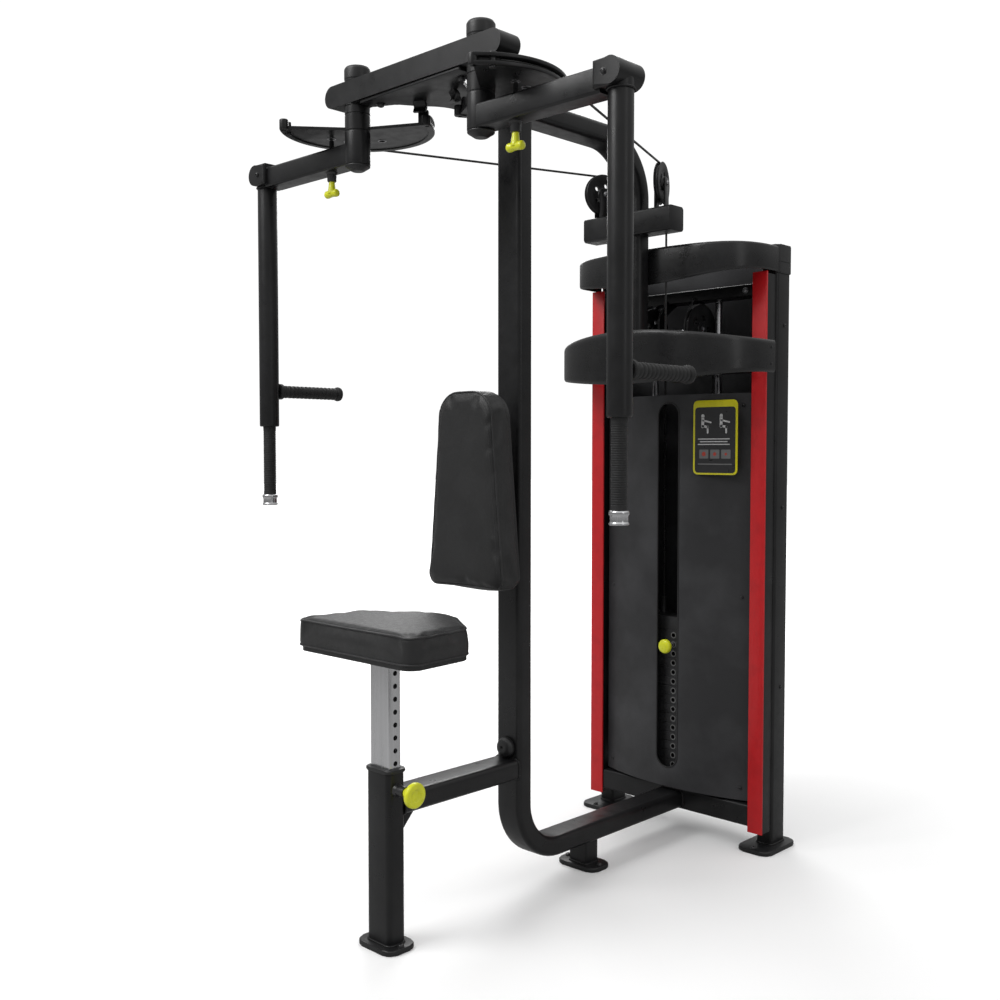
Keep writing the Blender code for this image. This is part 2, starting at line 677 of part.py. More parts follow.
def stack_comb(name, bottom, count):
    """A pile of weight plates in one piece, with a notch across the front between each two plates."""
    top = bottom + (count - 1) * PLATE_PITCH + PLATE_THICK
    low_y, high_y = STACK_Y - STACK_HALF_Y, STACK_Y + STACK_HALF_Y
    pile = box(name, (-STACK_HALF_X, low_y, bottom), (STACK_HALF_X, high_y, top), PLATE_IRON)
    for index in range(1, count):
        height = bottom + index * PLATE_PITCH - (PLATE_PITCH - PLATE_THICK)
        cut(pile, box(f"{name}_notch_{index}", (-0.2, low_y - 0.01, height),
                      (0.2, low_y + NOTCH_DEPTH, height + NOTCH_HIGH), helper=True))
    for side in (-1, 1):
        x = side * ROD_X
        hole(pile, ROD_R + 0.0015, (x, STACK_Y, bottom - 0.01), (x, STACK_Y, top + 0.01), sides=16)
    return pile, top


def lower_weight_plates():
    pile, top = stack_comb("lower_weight_plates", STACK_BOTTOM, LOWER_PLATES)
    hole(pile, 0.0115, (0, STACK_Y, STACK_BOTTOM - 0.01), (0, STACK_Y, top + 0.01), sides=16)


def lifted_plates():
    """The two plates above the selector pin's hole, and the hole itself."""
    pile, top = stack_comb("lifted_plates", LIFTED_BOTTOM, 2)
    hole(pile, 0.0115, (0, STACK_Y, LIFTED_BOTTOM - 0.01), (0, STACK_Y, top + 0.01), sides=16)
    hole(pile, 0.0052, (0, STACK_Y - 0.08, PIN_Z), (0, STACK_Y + 0.045, PIN_Z), axis="Y", sides=12)


def head_plate():
    """The plate on top of the stack, with the yoke that the two lift cables pull."""
    head = box("head_plate", (-STACK_HALF_X, STACK_Y - STACK_HALF_Y, HEAD_BOTTOM),
               (STACK_HALF_X, STACK_Y + STACK_HALF_Y, HEAD_BOTTOM + 0.040), PLATE_IRON, 0.003, 1)
    top = HEAD_BOTTOM + 0.040
    fall_y = tower_pulley_y() + TOWER_PULLEY_R
    for side in (-1, 1):
        x = side * abs(cable_fall(1)[0])
        weld(head, rod(f"cable_socket_{side}", 0.008, (x, fall_y, top - 0.01), (x, fall_y, top + 0.045),
                       sides=12, helper=True))
    for side in (-1, 1):
        x = side * ROD_X
        hole(head, ROD_R + 0.0015, (x, STACK_Y, HEAD_BOTTOM - 0.01), (x, STACK_Y, top + 0.01), sides=16)
    hole(head, 0.0098, (0, STACK_Y, HEAD_BOTTOM - 0.01), (0, STACK_Y, HEAD_BOTTOM + 0.030), sides=16)


def selector_rod():
    bar = rod("selector_rod", 0.0095, (0, STACK_Y, STACK_BOTTOM + 0.002),
              (0, STACK_Y, HEAD_BOTTOM + 0.0297), STEEL, sides=16)
    hole(bar, 0.0052, (0, STACK_Y - 0.02, PIN_Z), (0, STACK_Y + 0.02, PIN_Z), axis="Y", sides=12)


def selector_pin():
    """The pin that picks the plate, with its round knob in front of the slot."""
    front = STACK_Y - STACK_HALF_Y
    knob_back = front - 0.006
    profile = [(0, 0.046), (0.016, 0.046), (0.021, 0.041), (0.021, 0.024), (0.016, 0.018), (0.009, 0.018),
               (0.009, 0.0), (0.0048, 0.0), (0.0048, -0.085), (0, -0.085)]
    turned("selector_pin", profile, KNOB_YELLOW, place=(0, knob_back, PIN_Z), turn=(math.pi / 2, 0, 0))


# ---------------------------------------------------------------- pulleys and cable

def cable_line(side):
    """The straight run from a cam to its top pulley: where it leaves the cam, and its direction."""
    pivot = Vector((-PIVOT_X, PIVOT_Y))
    pulley = Vector((-TOP_PULLEY_X, TOP_PULLEY_Y))
    reach = pulley - pivot
    turn = math.atan2(reach.y, reach.x) + math.acos(CAM_CABLE_R / reach.length)
    leave = pivot + CAM_CABLE_R * Vector((math.cos(turn), math.sin(turn)))
    along = (pulley - leave).normalized()
    return Vector((-side * leave.x, leave.y)), Vector((-side * along.x, along.y)), turn


def cable_fall(side):
    """Where a cable drops from its top pulley."""
    along = cable_line(side)[1]
    return side * TOP_PULLEY_X + along.x * TOP_PULLEY_R, TOP_PULLEY_Y + along.y * TOP_PULLEY_R


def tower_pulley_y():
    return cable_fall(1)[1] + 2 * REDIRECT_R + TOWER_PULLEY_R


def top_pulley(name, side):
    """A grooved pulley, turned to face its cam."""
    along = cable_line(side)[1]
    turned(name, sheave_profile(TOP_PULLEY_R, SHAFT_R / 2 + GAP), COVER_BLACK,
           place=(side * TOP_PULLEY_X, TOP_PULLEY_Y, TOP_PULLEY_Z),
           turn=(math.pi / 2, 0, math.atan2(along.y, along.x)), ring=True)


def pulley_bracket():
    """The beam across the rear tube that carries both top pulleys on forks."""
    middle = REAR_TUBE_Y
    low, high = 1.690, 1.755
    beam = box("pulley_bracket", (-0.146, middle - 0.036, low), (0.146, middle + 0.028, high), FRAME_BLACK, 0.005)
    tube = box("rear_tube_passage", (-TUBE_WIDE / 2 - GAP, middle - TUBE_THIN / 2 - GAP, low - 0.02),
               (TUBE_WIDE / 2 + GAP, middle + TUBE_THIN / 2 + GAP, high + 0.02), helper=True)
    cut(beam, tube)
    for side in (-1, 1):
        along = cable_line(side)[1]
        heading = math.atan2(along.y, along.x)
        for cheek in (-1, 1):
            plate = box(f"fork_{side}_{cheek}", (-0.017, -0.0025, -0.044), (0.017, 0.0025, 0.044), helper=True)
            across = Vector((along.y, -along.x)) * cheek * (SHEAVE_WIDE / 2 + 0.0035)
            plate.location = (side * TOP_PULLEY_X + across.x, TOP_PULLEY_Y + across.y, 1.790)
            plate.rotation_euler = (0, 0, heading)
            weld(beam, plate)
        axle = rod(f"axle_{side}", SHAFT_R / 2, (0, 0, -0.013), (0, 0, 0.013), helper=True)
        axle.location = (side * TOP_PULLEY_X, TOP_PULLEY_Y, TOP_PULLEY_Z)
        axle.rotation_euler = (math.pi / 2, 0, heading)
        weld(beam, axle)


def pulley_pair(name, radius, place_y, place_z):
    """Two pulleys on one axle along X, in line with the two cables."""
    reach = abs(cable_fall(1)[0])
    half = SHEAVE_WIDE / 2
    rim, floor, axle = radius + SHEAVE_LIP, radius - CABLE_R - GROOVE_CLEAR, 0.008
    one = [(rim, reach + half), (rim, reach + half - 0.002), (floor, reach + 0.0035), (floor, reach - 0.0035),
           (rim, reach - half + 0.002), (rim, reach - half)]
    outer = [(0, reach + half)] + one + [(axle, reach - half)]
    profile = outer + [(radius, -height) for radius, height in reversed(outer)]
    turned(name, profile, COVER_BLACK, place=(0, place_y, place_z), turn=AXIS_TURN["X"])


def cable(name, side):
    """The cable from its anchor on the cam, over the top pulley and under and over the tower's pulleys."""
    leave, along, turn = cable_line(side)
    route = []
    wrap = math.radians(212)
    for index in range(7):
        angle = wrap + (turn - wrap) * index / 6
        route.append((-side * (-PIVOT_X + CAM_CABLE_R * math.cos(angle)),
                      PIVOT_Y + CAM_CABLE_R * math.sin(angle), CAM_Z))
    centre = Vector((side * TOP_PULLEY_X, TOP_PULLEY_Y))
    for index in range(7):
        angle = math.pi / 2 * (1 - index / 6)
        out = TOP_PULLEY_R * math.cos(angle)
        route.append((centre.x + along.x * out, centre.y + along.y * out,
                      TOP_PULLEY_Z + TOP_PULLEY_R * math.sin(angle)))
    x, y = cable_fall(side)
    for index in range(9):
        angle = math.pi * (1 + index / 8)
        route.append((x, y + REDIRECT_R + REDIRECT_R * math.cos(angle), REDIRECT_Z + REDIRECT_R * math.sin(angle)))
    for index in range(9):
        angle = math.pi * (1 - index / 8)
        route.append((x, tower_pulley_y() + TOWER_PULLEY_R * math.cos(angle),
                      TOWER_PULLEY_Z + TOWER_PULLEY_R * math.sin(angle)))
    route.append((x, tower_pulley_y() + TOWER_PULLEY_R, LIFT_CABLE_TOP + GAP))
    wire(name, route, CABLE_R, CABLE_BLACK)


def lift_cable(name, side):
    """The stretch of cable that shortens as the stack rises."""
    x, y = cable_fall(side)[0], tower_pulley_y() + TOWER_PULLEY_R
    rod(name, CABLE_R, (x, y, HEAD_BOTTOM + 0.085 + GAP), (x, y, LIFT_CABLE_TOP), CABLE_BLACK, sides=8)


# ---------------------------------------------------------------- cams and arms

def cam_point(side, reach, turn):
    """A point on a cam, at an angle counted on the left cam and mirrored for the right one."""
    return side * (PIVOT_X - reach * math.cos(turn)), PIVOT_Y + reach * math.sin(turn)


def cam(name, side):
    """A grooved sector on a hub, with its pin holes and its rest lug."""
    start, end = CAM_MIDDLE_ANGLE - CAM_HALF_ANGLE, CAM_MIDDLE_ANGLE + CAM_HALF_ANGLE
    turns = [start + (end - start) * index / CAM_STEPS for index in range(CAM_STEPS + 1)]
    outline = [cam_point(side, CAM_R, turn) for turn in turns] + [(side * PIVOT_X, PIVOT_Y)]
    plate = flat(name, outline, CAM_THICK, FRAME_BLACK, place=(0, 0, CAM_Z))
    x = side * PIVOT_X
    groove = [(CAM_R + 0.01, 0.0055), (CAM_R + 0.01, -0.0055), (CAM_CABLE_R - 0.006, -0.0055),
              (CAM_CABLE_R - 0.006, 0.0055)]
    cut(plate, turned(name + "_groove", groove, place=(x, PIVOT_Y, CAM_Z), steps=32, ring=True, helper=True))
    weld(plate, rod(name + "_hub", BARREL_R, (x, PIVOT_Y, CAM_HUB_BOTTOM), (x, PIVOT_Y, CAM_HUB_TOP), helper=True))
    lug_x, lug_y = cam_point(side, 0.162, math.radians(31.5))
    lug = box(name + "_lug", (-0.012, -0.006, 0), (0.012, 0.006, 0.017), helper=True)
    lug.location = (lug_x, lug_y, CAM_Z + CAM_THICK / 2 - 0.002)
    lug.rotation_euler = (0, 0, -side * math.radians(31.5))
    weld(plate, lug)
    hole(plate, BORE_R, (x, PIVOT_Y, CAM_HUB_BOTTOM - 0.01), (x, PIVOT_Y, CAM_HUB_TOP + 0.01))
    for degrees in (180, 155, 130, 105):
        hole_x, hole_y = cam_point(side, ROM_PIN_REACH, math.radians(degrees))
        hole(plate, 0.0075, (hole_x, hole_y, CAM_Z - 0.02), (hole_x, hole_y, CAM_Z + 0.02), sides=8)


def end_block(name, side):
    """The block on an arm's end, half round at its outer end seen from the front, with a socket for the tube."""
    round_r = (END_BLOCK_TOP - END_BLOCK_BOTTOM) / 2
    middle_z = (END_BLOCK_TOP + END_BLOCK_BOTTOM) / 2
    outline = arc((-round_r, 0), round_r, -math.pi / 2, math.pi / 2, 10)
    outline += [(-END_BLOCK_WIDE, round_r), (-END_BLOCK_WIDE, -round_r)]
    if side < 0:
        outline = [(-across, along) for across, along in reversed(outline)]
    block = flat(name, outline, END_BLOCK_DEEP, plane="XZ", place=(side * END_BLOCK_OUT, PIVOT_Y, middle_z),
                 rounding=0.004, helper=True)
    x = side * ARM_REACH
    weld(block, rod(name + "_socket", ARM_TUBE_R + 0.0005, (x, PIVOT_Y, END_BLOCK_BOTTOM), (x, PIVOT_Y, middle_z),
                    sides=20, helper=True))
    return block


def arm_beam(name, side):
    """The swinging arm: its pivot barrel, its beam, the block on its end and the pin's boss."""
    x = side * PIVOT_X
    low_x, high_x = sorted((x, side * (ARM_REACH - 0.030)))
    beam = box(name, (low_x, PIVOT_Y - ARM_HALF_Y, ARM_BOTTOM), (high_x, PIVOT_Y + ARM_HALF_Y, ARM_TOP),
               FRAME_BLACK, 0.006)
    weld(beam, end_block(name + "_block", side))
    weld(beam, rod(name + "_barrel", BARREL_R, (x, PIVOT_Y, ARM_BOTTOM - 0.0002),
                   (x, PIVOT_Y, CAM_HUB_BOTTOM - GAP), helper=True))
    pin_x = side * (PIVOT_X + ROM_PIN_REACH)
    weld(beam, rod(name + "_pin_boss", 0.011, (pin_x, PIVOT_Y, PIN_BOSS_FOOT), (pin_x, PIVOT_Y, ARM_BOTTOM + 0.01),
                   sides=16, helper=True))
    hole(beam, BORE_R, (x, PIVOT_Y, ARM_BOTTOM - 0.01), (x, PIVOT_Y, CAM_HUB_BOTTOM + 0.01))
    hole(beam, 0.0064, (pin_x, PIVOT_Y, PIN_BOSS_FOOT - 0.01), (pin_x, PIVOT_Y, ARM_TOP + 0.01), sides=16)


def arm_tube(name, side):
    """The upright tube that hangs from the arm's end block."""
    top, foot = END_BLOCK_BOTTOM - GAP, ARM_TUBE_FOOT
    profile = [(0, top), (ARM_TUBE_R, top), (ARM_TUBE_R, foot + 0.004), (ARM_TUBE_R - 0.004, foot), (0, foot)]
    turned(name, profile, FRAME_BLACK, place=(side * ARM_REACH, PIVOT_Y, 0), steps=20)


def hand_tube(name, side):
    """The slimmer tube below it, for the fly grip, with its end cap."""
    top, cap_top, foot = ARM_TUBE_FOOT - GAP, 0.993, 0.965
    profile = [(0, top), (0.016, top), (0.016, cap_top), (0.020, cap_top), (0.020, foot + 0.002),
               (0.018, foot), (0, foot)]
    turned(name, profile, GRIP_BLACK, place=(side * ARM_REACH, PIVOT_Y, 0), steps=20)


def rear_grip(name, side):
    """The level grip for the rear delt exercise, which points back towards the tower."""
    start = ARM_TUBE_R + 3 * GAP
    profile = [(0, 0.232), (0.013, 0.232), (0.016, 0.228), (0.016, start + 0.006),
               (0.021, start + 0.006), (0.021, start), (0, start)]
    turned(name, profile, GRIP_BLACK, place=(side * ARM_REACH, PIVOT_Y, 1.262), turn=AXIS_TURN["Y"], steps=20)


def rom_pin(name, side):
    """The sprung pin that locks an arm to its cam; its tip waits just under the cam."""
    x = side * (PIVOT_X + ROM_PIN_REACH)
    tip = CAM_Z - CAM_THICK / 2 - 2 * GAP
    collar_top = PIN_BOSS_FOOT - 0.001
    profile = [(0, tip), (0.0045, tip), (0.006, tip - 0.004), (0.006, collar_top), (0.0075, collar_top),
               (0.0075, PULL_NECK), (0.010, PULL_NECK - 0.004), (0.010, PULL_BOTTOM + 0.004),
               (0.008, PULL_BOTTOM), (0, PULL_BOTTOM)]
    pin = turned(name, profile, KNOB_YELLOW, place=(x, PIVOT_Y, 0), steps=12)
    weld(pin, box(name + "_handle", (x - 0.023, PIVOT_Y - 0.0075, PULL_BOTTOM + 0.002),
                  (x + 0.023, PIVOT_Y + 0.0075, PULL_BOTTOM + 0.018), rounding=0.005, segments=1, helper=True))


# ---------------------------------------------------------------- the whole machine

mast_and_base_rail()
rear_top_tube()
crossbar()
crossbar_bracket()
seat_rail()
seat_sleeve()
seat_collar()
foot_plate("seat_foot", (0, SEAT_Y), 0.060, 0.042)
mast_foot()
seat_post()
seat_pin()
seat_pad()
back_pad()
back_pad_plate()

top_shroud()
belt_shroud()
front_panel()
rear_panel()
base_beam()
mid_beam()
top_beam()
placard()
lower_weight_plates()
lifted_plates()
head_plate()
selector_rod()
selector_pin()
pulley_bracket()
pulley_pair("redirect_pulleys", REDIRECT_R, cable_fall(1)[1] + REDIRECT_R, REDIRECT_Z)
pulley_pair("tower_pulleys", TOWER_PULLEY_R, tower_pulley_y(), TOWER_PULLEY_Z)

for word, hand in (("left", -1), ("right", 1)):
    pivot_shaft(f"pivot_shaft_{word}", hand)
    cam(f"cam_{word}", hand)
    arm_beam(f"arm_beam_{word}", hand)
    arm_tube(f"arm_tube_{word}", hand)
    hand_tube(f"hand_tube_{word}", hand)
    rear_grip(f"rear_grip_{word}", hand)
    rom_pin(f"rom_pin_{word}", hand)
    column(f"column_{word}", hand)
    column_cap(f"column_cap_{word}", hand)
    tower_foot(f"tower_foot_{word}", hand)
    red_strip(f"red_strip_{word}", hand)
    guide_rod(f"guide_rod_{word}", hand)
    top_pulley(f"top_pulley_{word}", hand)
    cable(f"cable_{word}", hand)
    lift_cable(f"lift_cable_{word}", hand)
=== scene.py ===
"""Looks of the pec deck machine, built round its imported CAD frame.

Metres, +Z up, the same frame as the CAD: the seat faces -Y, the tower stands at +Y, left is -X.
"""

import json
import math

import bmesh
import bpy
from mathutils import Matrix, Vector
from mathutils.bvhtree import BVHTree

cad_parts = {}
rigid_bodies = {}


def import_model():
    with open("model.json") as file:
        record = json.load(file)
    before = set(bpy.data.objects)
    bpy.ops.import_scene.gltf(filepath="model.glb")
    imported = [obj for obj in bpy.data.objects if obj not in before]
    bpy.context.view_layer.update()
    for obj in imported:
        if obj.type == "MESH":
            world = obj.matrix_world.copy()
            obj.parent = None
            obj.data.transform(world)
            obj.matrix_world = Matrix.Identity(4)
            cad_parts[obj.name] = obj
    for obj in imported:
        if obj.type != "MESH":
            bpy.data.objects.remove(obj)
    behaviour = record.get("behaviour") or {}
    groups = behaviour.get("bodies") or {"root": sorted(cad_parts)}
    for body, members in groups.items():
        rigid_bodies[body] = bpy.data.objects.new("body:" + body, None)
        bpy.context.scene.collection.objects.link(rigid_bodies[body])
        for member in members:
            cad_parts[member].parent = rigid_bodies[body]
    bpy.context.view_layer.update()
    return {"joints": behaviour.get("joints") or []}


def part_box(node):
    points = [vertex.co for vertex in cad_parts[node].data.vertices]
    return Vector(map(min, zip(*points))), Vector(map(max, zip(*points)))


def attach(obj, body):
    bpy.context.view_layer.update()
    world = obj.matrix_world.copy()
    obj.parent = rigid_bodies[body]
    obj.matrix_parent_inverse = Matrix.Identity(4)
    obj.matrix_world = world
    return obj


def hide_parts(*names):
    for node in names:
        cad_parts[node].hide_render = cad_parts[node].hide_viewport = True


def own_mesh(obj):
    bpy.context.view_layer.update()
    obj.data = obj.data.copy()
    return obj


for leftover in list(bpy.data.objects):
    bpy.data.objects.remove(leftover, do_unlink=True)

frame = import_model()
scene = bpy.context.scene

SIDES = (("left", -1), ("right", 1))
RANGE_KEYS = ("From Min", "From Max", "To Min", "To Max")


# ---------------------------------------------------------------- places, read from the frame

def low(node):
    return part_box(node)[0]


def high(node):
    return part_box(node)[1]


def middle(node):
    corner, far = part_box(node)
    return (corner + far) / 2


def joint_place(name):
    """The point on a hinge joint's axis."""
    return Vector(next(joint["pos_m"] for joint in frame["joints"] if joint["name"] == name))


PIVOT_X = joint_place("cam_right_swing").x
PIVOT_Y = joint_place("cam_right_swing").y
CAM_Z = joint_place("cam_right_swing").z
ARM_X = middle("arm_tube_right").x
SEAT_Y = middle("seat_foot").y
STACK_Y = middle("head_plate").y
PIN_Z = middle("selector_pin").z
FOOT_TOP = high("seat_foot").z


# ---------------------------------------------------------------- camera, light and floor

def camera():
    data = bpy.data.cameras.new("camera")
    data.sensor_width = 36.0
    data.lens = 40.51
    data.clip_end = 60
    eye = bpy.data.objects.new("camera", data)
    scene.collection.objects.link(eye)
    eye.location = (1.9075, -2.1817, 1.1073)
    eye.rotation_euler = (math.radians(87.4844), 0, math.radians(44.1448))
    scene.camera = eye


def area_light(name, place, target, size, power):
    data = bpy.data.lights.new(name, "AREA")
    data.shape = "RECTANGLE"
    data.size, data.size_y = size
    data.energy = power
    lamp = bpy.data.objects.new(name, data)
    scene.collection.objects.link(lamp)
    lamp.location = place
    lamp.rotation_euler = (Vector(target) - Vector(place)).to_track_quat("-Z", "Y").to_euler()


def studio():
    """White behind the machine, and for its light a grey surround that darkens downwards."""
    world = bpy.data.worlds.new("studio")
    world.use_nodes = True
    tree = world.node_tree
    background = tree.nodes["Background"]
    direction = tree.nodes.new("ShaderNodeTexCoord")
    parts = tree.nodes.new("ShaderNodeSeparateXYZ")
    rise = tree.nodes.new("ShaderNodeMapRange")
    for key, number in zip(RANGE_KEYS, (-0.05, 0.9, 0.16, 1.0)):
        rise.inputs[key].default_value = number
    eye = tree.nodes.new("ShaderNodeLightPath")
    choice = tree.nodes.new("ShaderNodeMix")
    choice.inputs["B"].default_value = 1.05
    background.inputs["Color"].default_value = (1.0, 1.0, 1.0, 1.0)
    for source, target in ((direction.outputs["Generated"], parts.inputs["Vector"]),
                           (parts.outputs["Z"], rise.inputs["Value"]),
                           (rise.outputs["Result"], choice.inputs["A"]),
                           (eye.outputs["Is Camera Ray"], choice.inputs["Factor"]),
                           (choice.outputs["Result"], background.inputs["Strength"])):
        tree.links.new(source, target)
    scene.world = world
    scene.view_settings.view_transform = "Standard"
    area_light("key", (-1.2, -3.2, 4.2), (0, -0.1, 1.1), (2.2, 2.2), 105)
    area_light("fill", (3.8, -0.6, 2.4), (0, 0.1, 1.0), (1.0, 3.0), 8)
    area_light("rim", (-2.6, 2.6, 3.4), (0, 0.2, 1.2), (2.0, 2.0), 60)


def floor():
    """A pale floor that melts into the white background away from the machine."""
    mesh = bpy.data.meshes.new("floor")
    shape = bmesh.new()
    bmesh.ops.create_grid(shape, x_segments=1, y_segments=1, size=30)
    shape.to_mesh(mesh)
    shape.free()
    ground = bpy.data.objects.new("floor", mesh)
    scene.collection.objects.link(ground)
    ground.location.z = -0.0005
    pale = bpy.data.materials.new("pale_floor")
    pale.use_nodes = True
    tree = pale.node_tree
    shader = tree.nodes["Principled BSDF"]
    shader.inputs["Roughness"].default_value = 0.7
    shader.inputs["Specular IOR Level"].default_value = 0.1
    shader.inputs["Emission Color"].default_value = (1, 1, 1, 1)
    eye = tree.nodes.new("ShaderNodeLightPath")
    tone, glow = tree.nodes.new("ShaderNodeMapRange"), tree.nodes.new("ShaderNodeMapRange")
    seen = tree.nodes.new("ShaderNodeMath")
    place, reach = tree.nodes.new("ShaderNodeTexCoord"), tree.nodes.new("ShaderNodeVectorMath")
    reach.operation, seen.operation = "LENGTH", "MULTIPLY"
    for node, numbers in ((tone, (0.0, 1.0, 0.42, 0.94)), (glow, (1.0, 4.5, 0.06, 0.75))):
        for key, number in zip(RANGE_KEYS, numbers):
            node.inputs[key].default_value = number
    for source, target in ((eye.outputs["Is Camera Ray"], tone.inputs["Value"]),
                           (tone.outputs["Result"], shader.inputs["Base Color"]),
                           (place.outputs["Object"], reach.inputs["Vector"]),
                           (reach.outputs["Value"], glow.inputs["Value"]),
                           (glow.outputs["Result"], seen.inputs[0]),
                           (eye.outputs["Is Camera Ray"], seen.inputs[1]),
                           (seen.outputs["Value"], shader.inputs["Emission Strength"])):
        tree.links.new(source, target)
    mesh.materials.append(pale)


# ---------------------------------------------------------------- materials

class Paint:
    """A Principled material under construction, with the few nodes that each finish needs."""

    def __init__(self, name, colour, roughness, metallic=0.0):
        self.material = bpy.data.materials.new(name)
        self.material.use_nodes = True
        self.tree = self.material.node_tree
        self.shader = self.tree.nodes["Principled BSDF"]
        self.place = self.tree.nodes.new("ShaderNodeTexCoord").outputs["Object"]
        self.colour = colour
        self.roughness = roughness
        self.height = None
        self.shader.inputs["Base Color"].default_value = (*colour, 1)
        self.shader.inputs["Roughness"].default_value = roughness
        self.shader.inputs["Metallic"].default_value = metallic

    def add(self, kind, **values):
        made = self.tree.nodes.new(kind)
        for key, value in values.items():
            if key in made.inputs.keys():
                made.inputs[key].default_value = value
            else:
                setattr(made, key, value)
        return made

    def join(self, source, target):
        self.tree.links.new(source, target)

    def noise(self, scale, detail=3.0, stretch=(1, 1, 1)):
        """A noise value; a stretch below 1 draws it out along that axis."""
        spread = self.add("ShaderNodeMapping")
        spread.inputs["Scale"].default_value = stretch
        self.join(self.place, spread.inputs["Vector"])
        made = self.add("ShaderNodeTexNoise", Scale=scale, Detail=detail)
        self.join(spread.outputs["Vector"], made.inputs["Vector"])
        return made.outputs["Fac"]

    def spread(self, value, start, end, low_value=0.0, high_value=1.0):
        """Maps a value from one range to another, and stays inside it."""
        made = self.add("ShaderNodeMapRange")
        for key, number in zip(RANGE_KEYS, (start, end, low_value, high_value)):
            made.inputs[key].default_value = number
        self.join(value, made.inputs["Value"])
        return made.outputs["Result"]

    def tint(self, value, other):
        """Base colour that runs from the paint's own to another colour as the value goes from 0 to 1."""
        mix = self.add("ShaderNodeMix", data_type="RGBA")
        for socket in mix.inputs:
            if socket.type == "RGBA" and socket.name == "A":
                socket.default_value = (*self.colour, 1)
            if socket.type == "RGBA" and socket.name == "B":
                socket.default_value = (*other, 1)
        self.join(value, mix.inputs["Factor"])
        output = next(socket for socket in mix.outputs if socket.type == "RGBA")
        self.join(output, self.shader.inputs["Base Color"])
        return self

    def vary(self, value, spread):
        """Roughness that wanders round its own value."""
        low_value, high_value = self.roughness - spread, self.roughness + spread
        self.join(self.spread(value, 0.3, 0.7, low_value, high_value), self.shader.inputs["Roughness"])
        return self

    def bump(self, value, strength, distance):
        made = self.add("ShaderNodeBump", Strength=strength, Distance=distance)
        self.join(value, made.inputs["Height"])
        if self.height:
            self.join(self.height, made.inputs["Normal"])
        self.height = made.outputs["Normal"]
        self.join(self.height, self.shader.inputs["Normal"])
        return self


def powder_coat(name, colour, roughness):
    """Orange-peel powder coat with faint handling marks and dust."""
    paint = Paint(name, colour, roughness)
    lighter = tuple(min(1, part * 1.7 + 0.004) for part in colour)
    paint.tint(paint.spread(paint.noise(7, 5), 0.42, 0.78), lighter)
    paint.vary(paint.noise(34, 4), 0.07)
    paint.bump(paint.noise(620, 2), 0.16, 0.0006)
    paint.bump(paint.noise(60, 2), 0.05, 0.001)
    paint.shader.inputs["Specular IOR Level"].default_value = 0.36
    return paint.material


def moulded(name, colour, roughness):
    """Moulded plastic with a fine spark-eroded grain."""
    paint = Paint(name, colour, roughness)
    lighter = tuple(min(1, part * 1.4 + 0.003) for part in colour)
    paint.tint(paint.spread(paint.noise(11, 4), 0.45, 0.8), lighter)
    paint.vary(paint.noise(45, 3), 0.05)
    paint.bump(paint.noise(1500, 2), 0.10, 0.0004)
    return paint.material


def leather(name, colour, roughness):
    """Artificial leather: small grain cells, pores and soft wear on the colour."""
    paint = Paint(name, colour, roughness)
    cells = paint.add("ShaderNodeTexVoronoi", Scale=430.0, feature="DISTANCE_TO_EDGE")
    paint.join(paint.place, cells.inputs["Vector"])
    lighter = tuple(part * 1.9 + 0.004 for part in colour)
    paint.tint(paint.spread(paint.noise(13, 5), 0.4, 0.8), lighter)
    paint.vary(paint.noise(90, 3), 0.06)
    paint.bump(paint.spread(cells.outputs["Distance"], 0.0, 0.12), 0.30, 0.0004)
    paint.bump(paint.noise(190, 4), 0.16, 0.0006)
    paint.bump(paint.noise(22, 3), 0.08, 0.003)
    paint.shader.inputs["Sheen Weight"].default_value = 0.06
    return paint.material


def rubber(name, colour):
    paint = Paint(name, colour, 0.62)
    paint.tint(paint.spread(paint.noise(40, 4), 0.4, 0.8), tuple(part * 1.8 for part in colour))
    paint.vary(paint.noise(120, 3), 0.08)
    paint.bump(paint.noise(2200, 2), 0.22, 0.0004)
    return paint.material


def bare_metal(name, colour, roughness, stretch, strength):
    """Bright metal with fine lines drawn out along one axis."""
    paint = Paint(name, colour, roughness, 1.0)
    paint.tint(paint.spread(paint.noise(90, 3, stretch), 0.35, 0.75), tuple(part * 0.86 for part in colour))
    paint.vary(paint.noise(260, 3, stretch), roughness * 0.45)
    paint.bump(paint.noise(900, 2, stretch), strength, 0.0002)
    return paint.material


def gloss(name, colour, roughness, coat):
    """Glossy plastic or film under a thin clear layer."""
    paint = Paint(name, colour, roughness)
    paint.tint(paint.spread(paint.noise(24, 4), 0.45, 0.8), tuple(part * 0.82 for part in colour))
    paint.vary(paint.noise(70, 3), 0.05)
    paint.bump(paint.noise(800, 2), 0.05, 0.0004)
    paint.shader.inputs["Coat Weight"].default_value = coat
    paint.shader.inputs["Coat Roughness"].default_value = 0.12
    return paint.material


def cast(name, colour):
    """Painted cast plate: coarse cast skin under semi-gloss paint."""
    paint = Paint(name, colour, 0.46)
    paint.tint(paint.spread(paint.noise(30, 5), 0.4, 0.8), tuple(part * 1.6 + 0.004 for part in colour))
    paint.vary(paint.noise(80, 3), 0.08)
    paint.bump(paint.noise(330, 4), 0.35, 0.0008)
    return paint.material


